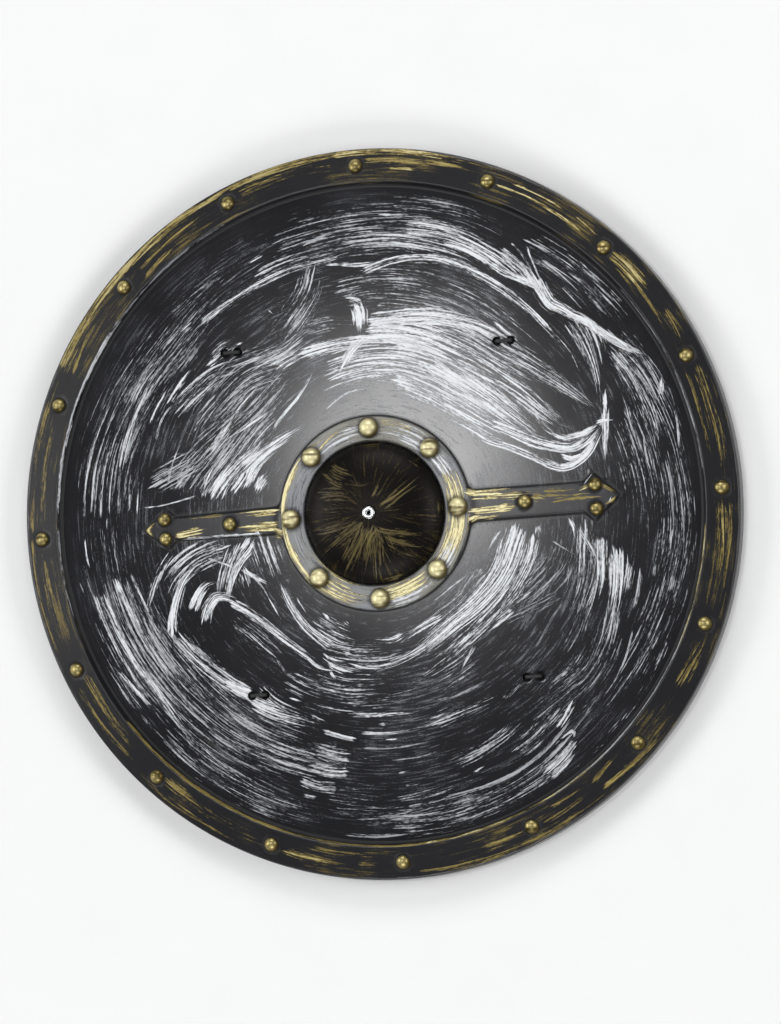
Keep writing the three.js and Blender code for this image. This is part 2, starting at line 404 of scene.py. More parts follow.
EDGE_ROWS = (249.96, 249.85, 249.65, 249.35, 248.95, 248.45)
STEP_ROWS = (227.9, 227.4, 227.0, 226.6, 226.2, 225.8, 225.4, 225.0, 224.6, 224.1)
GROOVE_ROWS = (50.3, 49.9, 49.6, 49.3, 49.0, 48.75, 48.5)
STEP_ROWS_BACK = (229.4, 228.6, 227.9, 227.2, 226.5, 225.8, 225.0)
RING_ROWS_BACK = (52.6, 52.0, 51.5, 51.0, 50.5, 46.52, 46.45, 46.2)
GROOVE_COUNT = 150
STEP_COUNT_BACK = 300
RING_COUNT_BACK = 120

# Plain bands filled with points, as inner and outer radius in metres

RIM_BAND = (0.2290, 0.2475)
FIELD_BAND = (0.0688, 0.2230)
RING_BAND = (0.0511, 0.0640)
RIM_BAND_BACK = (0.2330, 0.2440)
FIELD_BAND_BACK = (0.0720, 0.2225)
RING_BAND_BACK = (0.0540, 0.0600)
RING_SPACING_BACK = 0.003
WALLS_FROM = 0.0600

# Lifts in degrees at which circles of points go round the dome, as start, stop and step

DOME_LIFTS = (3, 85, 3.2)
DOME_LIFTS_BACK = (9, 85, 6)

# Distances in millimetres, inwards from the outline of ring and bars, of rows that follow it

WALL_LEVELS = (-1.2, -0.6, -0.25, 0.1, 0.45, 0.8, 1.3)
WALL_LEVELS_BACK = (0.6, 1.5, 2.0, 2.6, 3.4)
STATION_REACH = 2.5
LEVEL_NUDGE = 0.02
LEVEL_ROUNDS = 5
LEVEL_ERROR = 0.08
LEAST_SLOPE = 0.3

# Spacings as shares of the face's or the back's, and the millimetre cells that hold one point each

RING_SPACING = 0.9
DOME_SPACING = 1.05
WALL_SPACING = 0.85
WALL_SPACING_BACK = 0.7
WALL_CELL = 0.22
WALL_CELL_BACK = 0.5
FEWEST_ON_BAND = 8
FEWEST_ON_DOME = 16

# Circles of points on a head as (share of its radius, count), and gaps of more circles outside it

HEAD_COUNT = 28
HEAD_ROWS = (
    (0.25, 10), (0.5, 18), (0.7, HEAD_COUNT), (0.84, HEAD_COUNT), (0.93, HEAD_COUNT),
    (0.985, HEAD_COUNT),
)
HEAD_FOOT_GAPS = (0, 0.28)
HEAD_OUTER_GAP = 0.85
HEAD_WALL_GAP = 2.0
GROOVE_RADIUS = 0.0495
GROOVE_GAP = 1.5
HOLE_GAPS = ((0.25, 0), (0.7, 0), (1.5, 0.5))
HEAD_COUNT_BACK = 24
HEAD_ROWS_BACK = ((0.4, 10), (0.75, 16), (0.95, 20))
HOLLOW_GAPS = (0.15, 0.45)
RIM_HOLLOW_GAPS = (0.15, 0.45, 1.0, 1.7, 2.6)
RIM_HEADS_FROM = 0.23
HOLE_GAP_BACK = 0.9
EDGE_INSET_BACK = 0.1

# Gaps in millimetres that plain points keep from walls, holes and heads, and bend rows from heads

Gaps = namedtuple("Gaps", "wall hole head bend")
FACE_GAPS = Gaps(1.9, 2.3, 1.5, 0.5)
BACK_GAPS = Gaps(3.2, 3.4, 2.2, -0.9)


def clear_of(points, circles, gap):
    """Which points lie more than a gap outside every circle, given as (x, y, radius in millimetres)."""
    keep = np.ones(len(points), bool)
    for x, y, radius in circles:
        keep &= np.hypot(points[:, 0] - x, points[:, 1] - y) > (radius + gap) * MM
    return keep


def turned_rows(radii, spacing, fewest):
    """Circles of evenly spaced points, every second one turned by half a step."""
    counts = [max(fewest, round(FULL_TURN * radius / spacing)) for radius in radii]
    return [circle(radii[i], counts[i], shift=0.5 * (i % 2)) for i in range(len(radii))]


def rows_between(inner, outer, spacing):
    """Circles of points that fill a band."""
    count = max(2, round((outer - inner) / spacing) + 1)
    radii = np.linspace(inner, outer, count)
    return turned_rows(radii, spacing, FEWEST_ON_BAND)


def wall_points(size, spacing, levels):
    """Points on lines that follow the walls of the ring and the bars at several distances from them."""
    stations = [circle(size.ring_outer, round(FULL_TURN * size.ring_outer / spacing))]
    for bar in (LEFT_BAR, RIGHT_BAR):
        outline = bar_outline(bar)
        for start, end in zip(outline, np.roll(outline, -1, axis=0)):
            steps = max(1, round(np.hypot(*(end - start)) / spacing))
            share = np.arange(steps)[:, None] / steps
            stations.append(start + (end - start) * share)
    stations = np.concatenate(stations)
    stations = stations[np.abs(raised_distance(size, stations)) < STATION_REACH * MM]
    nudge = LEVEL_NUDGE * MM
    found = []
    for level in levels:
        points = stations.copy()
        for _ in range(LEVEL_ROUNDS):
            distance = raised_distance(size, points)
            slope = np.column_stack([
                (raised_distance(size, points + np.array(step) * nudge) - distance) / nudge
                for step in ((1, 0), (0, 1))
            ])
            slope /= np.maximum(LEAST_SLOPE, np.hypot(*slope.T))[:, None]
            points = points + (level * MM - distance)[:, None] * slope
        close = np.abs(raised_distance(size, points) - level * MM) < LEVEL_ERROR * MM
        found.append(points[close])
    return np.concatenate(found)


def thinned(points, gap):
    """Drops points that fall in the same small cell as an earlier one."""
    cells = np.round(points / gap).astype(np.int64)
    _, first = np.unique(cells, axis=0, return_index=True)
    return points[np.sort(first)]


def open_loops(outer):
    """The outer edge, the boss hole and the strap holes."""
    loops = [circle(outer, EDGE_COUNT), circle(BOSS_HOLE_RADIUS * MM, BOSS_HOLE_COUNT)]
    return loops + [circle(HOLE_RADIUS * MM, HOLE_COUNT, centre) for centre in hole_centres()]


def dome_rows(foot, lifts, spacing):
    radii = [foot * math.cos(lift) for lift in np.radians(np.arange(*lifts))]
    return turned_rows(radii, spacing, FEWEST_ON_DOME)


def spread(size, plain, bends, inset, gaps):
    """Plain points that keep their gaps, then the rows at bends without those on the heads."""
    plain = np.concatenate(plain)
    bends = np.concatenate(bends)
    heads = [(x, y, head.radius) for x, y, head in head_places()]
    holes = [(x, y, HOLE_RADIUS) for x, y in hole_centres()]
    keep = np.abs(raised_distance(size, plain) - inset) > gaps.wall * MM
    keep |= np.hypot(*plain.T) < WALLS_FROM
    keep &= clear_of(plain, holes, gaps.hole) & clear_of(plain, heads, gaps.head)
    return [plain[keep], bends[clear_of(bends, heads, gaps.bend)]]


def cap_points(centre, radius, rows):
    """A head's middle, and circles at shares of its radius."""
    return [np.array([centre])] + [circle(share * radius * MM, count, centre) for share, count in rows]


def face_points(size):
    """The face's loops, and the points inside them."""
    spacing = size.face_spacing
    bends = [circle(r * MM, EDGE_COUNT) for r in EDGE_ROWS + STEP_ROWS]
    bends += [circle(r * MM, GROOVE_COUNT) for r in GROOVE_ROWS]
    bends.append(thinned(wall_points(size, WALL_SPACING * spacing, WALL_LEVELS), WALL_CELL * MM))
    plain = rows_between(*RIM_BAND, spacing) + rows_between(*FIELD_BAND, spacing)
    plain += rows_between(*RING_BAND, RING_SPACING * spacing)
    plain += dome_rows(size.boss_radius, DOME_LIFTS, DOME_SPACING * spacing)

    points = spread(size, plain, bends, 0, FACE_GAPS)
    for x, y, head in head_places():
        points += cap_points((x, y), head.radius, HEAD_ROWS)
        points += [circle((head.radius + gap) * MM, HEAD_COUNT, (x, y)) for gap in HEAD_FOOT_GAPS]
        outer = circle((head.radius + HEAD_OUTER_GAP) * MM, HEAD_COUNT, (x, y), 0.5)
        near_wall = np.abs(raised_distance(size, outer)) < HEAD_WALL_GAP * MM
        near_wall |= np.abs(np.hypot(*outer.T) - GROOVE_RADIUS) < GROOVE_GAP * MM
        points.append(outer[~near_wall])
    for centre in hole_centres():
        points += [circle((HOLE_RADIUS + gap) * MM, HOLE_COUNT, centre, shift) for gap, shift in HOLE_GAPS]
    return open_loops(size.radius), np.concatenate(points)


def back_points(size):
    """The back's loops, and the points inside them."""
    spacing = size.back_spacing
    bends = [circle(r * MM, STEP_COUNT_BACK) for r in STEP_ROWS_BACK]
    bends += [circle(r * MM, RING_COUNT_BACK) for r in RING_ROWS_BACK]
    walls = wall_points(size, WALL_SPACING_BACK * spacing, WALL_LEVELS_BACK)
    bends.append(thinned(walls, WALL_CELL_BACK * MM))
    plain = rows_between(*RIM_BAND_BACK, spacing) + rows_between(*FIELD_BAND_BACK, spacing)
    plain += rows_between(*RING_BAND_BACK, RING_SPACING_BACK)
    plain += dome_rows(size.boss_radius - size.wall, DOME_LIFTS_BACK, spacing)

    points = spread(size, plain, bends, size.wall, BACK_GAPS)
    for x, y, head in head_places():
        hollow = head.radius - HEAD_INSET
        points += cap_points((x, y), hollow, HEAD_ROWS_BACK)
        gaps = RIM_HOLLOW_GAPS if math.hypot(x, y) > RIM_HEADS_FROM else HOLLOW_GAPS
        points += [circle((hollow + gap) * MM, HEAD_COUNT_BACK, (x, y)) for gap in gaps]
    for centre in hole_centres():
        points.append(circle((HOLE_RADIUS + HOLE_GAP_BACK) * MM, HOLE_COUNT, centre))
    return open_loops(size.radius - size.wall - EDGE_INSET_BACK * MM), np.concatenate(points)


SAME_POINT = 1e-7
OPENING_SHARE = 0.995


def skin(loops, inner):
    """Triangles over the loops and inner points, open inside every loop after the first."""
    points = np.concatenate(loops + [inner])
    in_mm = [Vector(point / MM) for point in points]
    corners, _, faces, *_ = delaunay_2d_cdt(in_mm, [], [], 0, SAME_POINT, False)
    if len(corners) != len(points):
        raise RuntimeError("two points of the moulding coincide")
    faces = np.array(faces)
    middle = points[faces].mean(axis=1)
    keep = np.ones(len(faces), bool)
    for loop in loops[1:]:
        centre = loop.mean(axis=0)
        reach = np.hypot(*(loop[0] - centre))
        keep &= np.hypot(*(middle - centre).T) > reach * OPENING_SHARE
    return points, faces[keep]


def loop_ranges(loops, start):
    """The numbers of each loop's points when the loops follow one another from a start."""
    ranges = []
    for loop in loops:
        ranges.append(np.arange(start, start + len(loop)))
        start += len(loop)
    return ranges


def bridged(first, second):
    """Quads between two loops with the same number of points."""
    return np.column_stack((first, second, np.roll(second, -1), np.roll(first, -1))).tolist()


def lofted(rows, sides, closed=False):
    """Corners of stacked rows with the same number of points, and the quads between them."""
    loops = [np.arange(i * sides, (i + 1) * sides) for i in range(len(rows))]
    faces = []
    for first, second in zip(loops, loops[1:] + (loops[:1] if closed else [])):
        faces += bridged(first, second)
    return np.concatenate(rows), faces


def mesh_object(name, corners, faces, material):
    """A smooth mesh object with its faces turned outwards."""
    mesh = bpy.data.meshes.new(name)
    mesh.from_pydata(np.asarray(corners).tolist(), [], [list(map(int, face)) for face in faces])
    mesh.materials.append(material)
    piece = bpy.data.objects.new(name, mesh)
    bpy.context.scene.collection.objects.link(piece)
    form = bmesh.new()
    form.from_mesh(mesh)
    bmesh.ops.recalc_face_normals(form, faces=form.faces)
    form.to_mesh(mesh)
    form.free()
    mesh.shade_smooth()
    return piece


def moulding_mesh(size):
    """Corners and faces of the whole moulding, and the flat places of its face's corners."""
    face_loops, face_inner = face_points(size)
    flat, face_faces = skin(face_loops, face_inner)
    back_loops, back_inner = back_points(size)
    back_flat, back_faces = skin(back_loops, back_inner)
    face_corners = np.column_stack((flat, face_height(size, flat)))
    back_corners = np.column_stack((back_flat, back_height(size, back_flat)))
    back_start = len(face_corners)
    face_edge = loop_ranges(face_loops, 0)
    back_edge = loop_ranges(back_loops, back_start)

    outer = size.radius
    inner = size.radius - size.wall
    # (radius, height) down the outside, round the back edge and up the inside
    skirt = (
        (outer, 0.0075), (outer, 0.004), (outer, 0.0005), (outer - 0.00015, 0.0001), (outer - 0.0004, 0.0),
        (inner + 0.0004, 0.0), (inner + 0.0001, 0.0001), (inner, 0.0005), (inner, 0.004), (inner, 0.0075),
    )
    skirt_rows = [level_circle(radius, height, EDGE_COUNT) for radius, height in skirt]
    corners = np.concatenate([face_corners, back_corners] + skirt_rows)
    rows = [face_edge[0]] + loop_ranges(skirt_rows, back_start + len(back_corners)) + [back_edge[0]]
    faces = face_faces.tolist() + (back_faces + back_start).tolist()
    for upper, lower in list(zip(rows, rows[1:])) + list(zip(face_edge[1:], back_edge[1:])):
        faces += bridged(upper, lower)
    return corners, faces, flat


# Brush strokes, with a few thin painted highlights drawn the same way

SILVER = 0
GOLD = 1
LAYERS = 9
STROKE_STEP = 2.5
CURVE_PARTS = 24
ENDLESS = 1000

# Reach of a stroke's vectors past its outline, in millimetres or as a share of its half width

ZONE_EDGE = 3.2
ZONE_SPREAD = 1.25
CAP_EDGE = 0.6
CAP_SPREAD = 1.15
END_REACH = 2.5
LONGEST_END = 7
END_EDGE = 2.5
SPARE = 3
BODY_RANGE = (0.05, 0.95)
NO_STROKE = (-50.0, 0.0, 0.0)

# width and fade, the length of the thinning end, are in millimetres. cover is how densely the bristles
# mark and body how bright the paint is. Points of the path are (angle, radius): degrees anticlockwise
# from the right bar and millimetres from the middle.
Sweep = namedtuple("Sweep", "paint width end_width cover body fade path")


def silver(width, cover, body, fade, *path, end=None):
    return Sweep(SILVER, width, end or width, cover, body, fade, path)


def gold(width, cover, body, fade, *path, end=None):
    return Sweep(GOLD, width, end or width, cover, body, fade, path)


def at(x, y):
    """A path point given as a place in millimetres."""
    return math.degrees(math.atan2(y, x)), math.hypot(x, y)


# Every sweep is listed one by one, so none repeats another

UPPER_LEFT_SWEEPS = [
    silver(44, 0.42, 0.42, 90, (177, 191), (165, 191), (150, 187), (138, 184), (125, 187), (112, 190)),
    silver(7.6, 0.85, 0.7, 15, (166, 184), (155, 184), (144, 183)),
    silver(2, 0.8, 0.6, 30, (177, 208), (170, 208), (160, 206), (150, 203)),
    silver(1.7, 0.9, 0.6, 40, (176, 203), (165, 202), (150, 197)),
    silver(2, 0.9, 0.55, 25, (176.5, 196), (168, 196), (158, 194)),
    silver(1.7, 0.9, 0.6, 25, (176, 190), (168, 190), (158, 189)),
    silver(2.4, 0.9, 0.95, 8, (155, 172), (150, 172), (145, 171)),
    silver(2, 0.85, 0.8, 8, (158.5, 164), (152, 165), (147, 161)),
    silver(2, 0.85, 0.85, 8, (176, 169), (170, 169)),
    silver(2, 0.85, 0.75, 8, (176, 175), (169, 175)),
    silver(26, 0.46, 0.6, 40, (153, 186), (145, 185), (135, 182), (124, 184)),
    silver(4, 0.9, 0.7, 6, (134.5, 186), (130, 185)),
    silver(12, 0.3, 0.5, 30, (133, 200), (124, 199), (115, 197)),
    silver(6, 0.66, 0.85, 60, (130, 181), (120, 179), (112, 178), (105, 178), (98, 177), (92, 179),
           (84, 180)),
    silver(2.7, 0.85, 0.85, 5, (114, 195), (110, 195.5)),
    silver(5.1, 0.75, 0.95, 6, (136.5, 157), (131, 154)),
    silver(4, 0.9, 0.9, 4, (126.8, 152), (124.6, 150)),
    silver(1.7, 0.9, 0.9, 4, (122, 151), (121, 148)),
    silver(2.7, 0.9, 0.8, 20, (149, 164), (140, 157), (135, 153), (130, 146)),
    silver(14, 0.5, 0.7, 20, (151, 158), (143, 152), (136, 147), (130, 140), (122, 132), (115, 128),
           (108, 123)),
    silver(10, 0.55, 0.75, 15, (127, 134), (118, 130), (113, 131), (106, 135)),
    silver(34, 0.54, 0.5, 30, (150, 137), (140, 133), (130, 130), (120, 122), (110, 116)),
    silver(2.7, 0.9, 0.95, 20, (152, 121), (145, 120.5), (138, 120), (130, 119), (124, 118)),
    silver(2, 0.9, 0.65, 15, (146, 109), (138, 107), (131, 105)),
    silver(2, 0.9, 0.75, 12, (142, 101), (132, 100)),
    silver(2.7, 0.9, 0.9, 20, (138, 92), (128, 94), (121, 96), (115, 101), (109, 109)),
    silver(2, 0.9, 0.95, 10, (168.5, 149), (162, 148), (155.5, 146)),
    silver(1.7, 0.85, 0.8, 12, (153, 141), (147, 137), (143, 132)),
    silver(22, 0.68, 0.55, 30, (169, 160), (165, 146), (160, 132), (154, 118)),
    silver(34, 0.62, 0.6, 40, (170, 121), (160, 112), (150, 106), (140, 103), (130, 101), (120, 102)),
    silver(12, 0.78, 1, 10, (170.5, 116), (164, 110), (158, 104), (151, 97), (143, 89), end=12),
    silver(12, 0.9, 1, 22, (158, 97), (145, 87.5), (133, 81), (120, 77), end=3),
    silver(9, 1, 1, 20, (164, 92), (156, 90.5), (148, 86), (140, 80.5), (132, 77), end=3),
    silver(6.8, 0.9, 1, 6, (171.5, 123), (166, 121), (160, 118)),
    silver(8, 0.9, 1, 6, (168.5, 103), (163, 98), (157, 95)),
    silver(6, 0.9, 1, 6, (166, 94), (161, 91), (156, 87)),
    silver(1.4, 0.85, 0.75, 8, (174.5, 167), (173.5, 150), (171.5, 134), (169.5, 122.5)),
    silver(28, 0.44, 0.7, 20, (101, 172), (104, 158), (110, 146), (118, 137)),
    silver(1.5, 0.8, 0.7, 5, (115, 161), (114, 154)),
    silver(2.4, 0.9, 0.85, 6, (180.3, 208), (183, 208), (186.5, 207)),
    silver(2, 0.7, 0.5, 6, (184.5, 212), (189, 211)),
    silver(1.7, 0.9, 0.8, 3, (180.6, 179), (181.6, 179)),
    silver(44, 0.26, 0.4, 20, (178, 188), (184, 188), (191, 188)),
    silver(30, 0.5, 0.55, 40, (168, 140), (158, 128), (147, 116), (136, 110), (124, 112), (112, 118)),
    silver(2, 0.9, 0.8, 15, (150, 118), (144, 110), (136, 104), (128, 101)),
    silver(5, 0.9, 0.85, 8, (149, 166), (144, 165), (139, 164)),
    silver(8, 0.8, 0.8, 12, (156, 124), (150, 120.5), (143, 118)),
    silver(16, 0.7, 0.85, 14, (122, 124), (115, 124), (108, 126)),
    silver(10, 0.7, 0.8, 8, (134, 158), (130, 157), (126, 154)),
    silver(9, 0.95, 1, 8, (166, 85), (160, 83), (154, 80)),
    silver(7, 0.85, 0.9, 6, (170, 108), (166, 106)),
]
TOP_SWEEPS = [
    silver(7, 0.85, 1, 50, (90, 165), (85, 170.5), (80, 175), (75, 177.5), (70, 178.5), (60, 176.5),
           (52, 175), (43, 172.5), (36, 172), (32, 170)),
    silver(17, 0.78, 0.88, 14, (81, 196), (76, 197), (70, 197), (62, 194), (55, 190), (49, 186),
           end=12),
    silver(15, 0.68, 0.75, 40, (93, 186), (84, 187), (76, 187), (68, 186), (60, 182)),
    silver(2.7, 0.85, 0.7, 8, (86, 204), (80, 204)),
    silver(2, 0.85, 0.65, 10, (84, 210), (78.5, 210)),
    silver(3.4, 0.7, 0.5, 10, (102, 191), (97, 194), (94, 196)),
    silver(8.5, 0.65, 0.7, 15, (113.5, 185), (107, 185), (101, 184)),
    silver(40, 0.44, 0.5, 60, (108, 193), (95, 193), (85, 194), (75, 196), (64, 196)),
    silver(14, 0.38, 0.4, 30, (88, 213), (78, 213), (68, 213), (59, 210)),
    silver(3, 0.85, 1, 10, (98, 174), (91, 170.5), (85.5, 171.5)),
    silver(2.7, 0.9, 1, 3, (93.8, 152.5), (92, 150.5)),
    silver(5, 0.9, 1, 4, (95, 148), (92, 146.5), (90, 143)),
    silver(14, 1, 1, 10, (92, 145), (91, 138), (91, 130), (91, 123)),
    silver(11, 1, 1, 16, (113, 121), (105, 119.5), (97, 118.5), (88, 118.5), (78, 119), (68, 118),
           (56, 117), end=8),
    silver(3.4, 0.85, 0.9, 20, (87, 142), (82, 142.5), (75, 142)),
    silver(15, 0.9, 0.9, 40, (89, 131), (80, 134), (70, 139), (60, 143), (50, 147), (42, 149)),
    silver(18, 0.95, 0.95, 70, (89.5, 127), (80, 127), (70, 127), (60, 127), (48, 129), (38, 133),
           (30, 140)),
    silver(7.6, 0.85, 0.95, 10, (90, 120), (94, 114), (98, 106), (101, 100)),
    silver(30, 0.82, 0.85, 60, (106, 101), (92, 103), (80, 104), (68, 104), (55, 104), (42, 106),
           (30, 112), (20, 120)),
    silver(2, 0.85, 0.75, 30, (113, 79), (100, 84.5), (90, 86), (76, 87)),
    silver(2, 0.8, 0.7, 25, (110, 91), (100, 92), (88, 93)),
    silver(11, 0.52, 0.7, 20, (108, 135), (100, 134), (92, 130)),
    silver(30, 0.42, 0.6, 40, (96, 154), (84, 156), (72, 156), (60, 155), (48, 153), (38, 154)),
    silver(6, 0.9, 0.95, 20, (72, 190), (66, 189), (58, 185), (52, 188), (46, 192)),
    silver(22, 0.8, 0.85, 20, (78, 92), (64, 90), (52, 90), (42, 93), (33, 98), (26, 104)),
    silver(12, 0.9, 0.9, 20, (80, 117), (70, 117), (60, 116)),
]
UPPER_RIGHT_PAINT_AND_HIGHLIGHT_SWEEPS = [
    silver(30, 0.9, 1, 26, (66, 108), (54, 107), (43, 109), (34, 113), (26, 119), (20, 126), end=12),
    silver(7, 0.84, 1, 14, (42, 84), (30, 91), (23, 101), (16, 114), (11, 125), (9, 135), (10, 146),
           (12, 154), (15, 162), (17.3, 169)),
    silver(10, 0.9, 0.95, 14, (33, 101), (26, 110), (20, 120), (16, 131), (14, 142), (14.5, 152),
           (16, 160), (17.5, 168)),
    silver(5, 0.86, 0.95, 12, (36, 124), (29, 128), (22, 131), (17.5, 139), (16.7, 150), (17, 160),
           (17.7, 170)),
    silver(22, 0.6, 0.8, 15, (47, 141), (38, 147), (31, 154), (25, 161), (20, 168), end=5),
    silver(3.4, 0.9, 1, 8, (24, 178), (21, 174), (18.5, 171)),
    silver(9, 0.95, 1, 8, (20, 173), (17.5, 170), (15.5, 168), (12, 164.5), (8, 162), end=2),
    silver(10, 1, 1, 4, (17.5, 163), (17.5, 169), (17, 174), end=3),
    silver(12, 1, 1, 10, (52, 194), (49, 189), (46, 186), (43.5, 188), (41, 190), (38, 194),
           (34.5, 197), (31, 202), (28.5, 207), (26.2, 213), end=5),
    silver(2.7, 0.9, 1, 8, (42.5, 187), (40, 190), (37, 194)),
    silver(5, 0.9, 1, 6, (34, 198), (31, 203), (28.5, 206)),
    silver(2, 0.9, 0.95, 10, (60, 206), (57, 203), (53.5, 197), (50, 191)),
    silver(1.7, 0.85, 0.9, 8, (56.5, 209), (55, 204), (52, 197), (49, 191)),
    silver(6.8, 0.85, 0.9, 16, (61, 199), (55, 195), (51, 190), (46, 184)),
    silver(15, 0.66, 0.85, 25, (41, 188), (36, 185), (31, 181), (26, 176), (21, 170), end=5),
    silver(26, 0.5, 0.62, 50, (33, 201), (28, 204), (23, 207), (17, 209), (10, 211), (2, 212), end=14),
    silver(2, 0.6, 0.6, 20, (26, 214), (20, 217), (14, 216), (8, 213), (3, 212)),
    silver(14, 0.55, 0.7, 30, (30, 196), (24, 198), (18, 199), (12, 199), (6, 197)),
    silver(8.5, 0.36, 0.6, 30, (26, 190), (20, 189), (14, 187), (8, 188), (2, 190)),
    silver(34, 0.4, 0.6, 30, (17, 184), (10, 186), (2, 188), (-7, 190)),
    silver(22, 0.4, 0.65, 30, (57, 211), (50, 212), (43, 213), (36, 214), (30, 214)),
    silver(2.4, 0.8, 0.5, 12, (52.5, 206), (47, 205), (42.5, 204)),
    silver(2, 0.7, 0.7, 10, (47, 200), (44, 199), (40.5, 198)),
    silver(1.7, 0.85, 0.85, 5, (46.8, 220), (44.3, 219.5)),
    silver(4, 0.85, 0.85, 8, (54, 153), (49, 152), (45.5, 152)),
    silver(2.4, 0.9, 0.5, 10, (12, 192), (8, 190), (3.5, 192)),
    silver(26, 0.42, 0.55, 60, (7, 205), (-5, 208), (-15, 207), (-25, 206), (-35, 205), (-46, 205)),
    silver(2, 0.6, 0.2, 15, (4, 208), (-3, 210), (-10, 212), (-18, 213)),
    silver(2.4, 0.8, 0.2, 20, (6, 203), (-2, 204), (-11, 206)),
    silver(2.7, 0.9, 0.35, 5, (-14, 195), (-17.5, 196)),
    silver(2.7, 0.85, 0.35, 6, (-15, 209), (-20, 209)),
    silver(5.1, 0.35, 0.65, 30, (-28, 218), (-38, 219), (-50, 220), (-58, 219)),
    # A painted highlight: a thin line along the upper shoulder of the right bar's arrowhead
    silver(2, 0.9, 0.85, 6, at(144, 8), at(152, 17)),
    silver(2.4, 0.9, 0.8, 4, at(161, -6), at(164.5, 1)),
    silver(20, 0.7, 0.85, 20, (44, 124), (36, 128), (28, 133), (22, 140), (18, 148), end=9),
    silver(5, 0.9, 0.95, 8, (21, 216), (19, 212), (17.5, 207)),
    silver(6, 1, 1, 6, (13, 133), (11, 141), (11.5, 150)),
    silver(22, 0.62, 0.75, 20, (62, 137), (50, 138), (40, 143), (32, 150)),
    silver(14, 0.7, 0.9, 20, (58, 116), (47, 119.5), (38, 125)),
    silver(14, 0.6, 0.7, 14, (38, 194), (33, 190), (29, 185)),
]
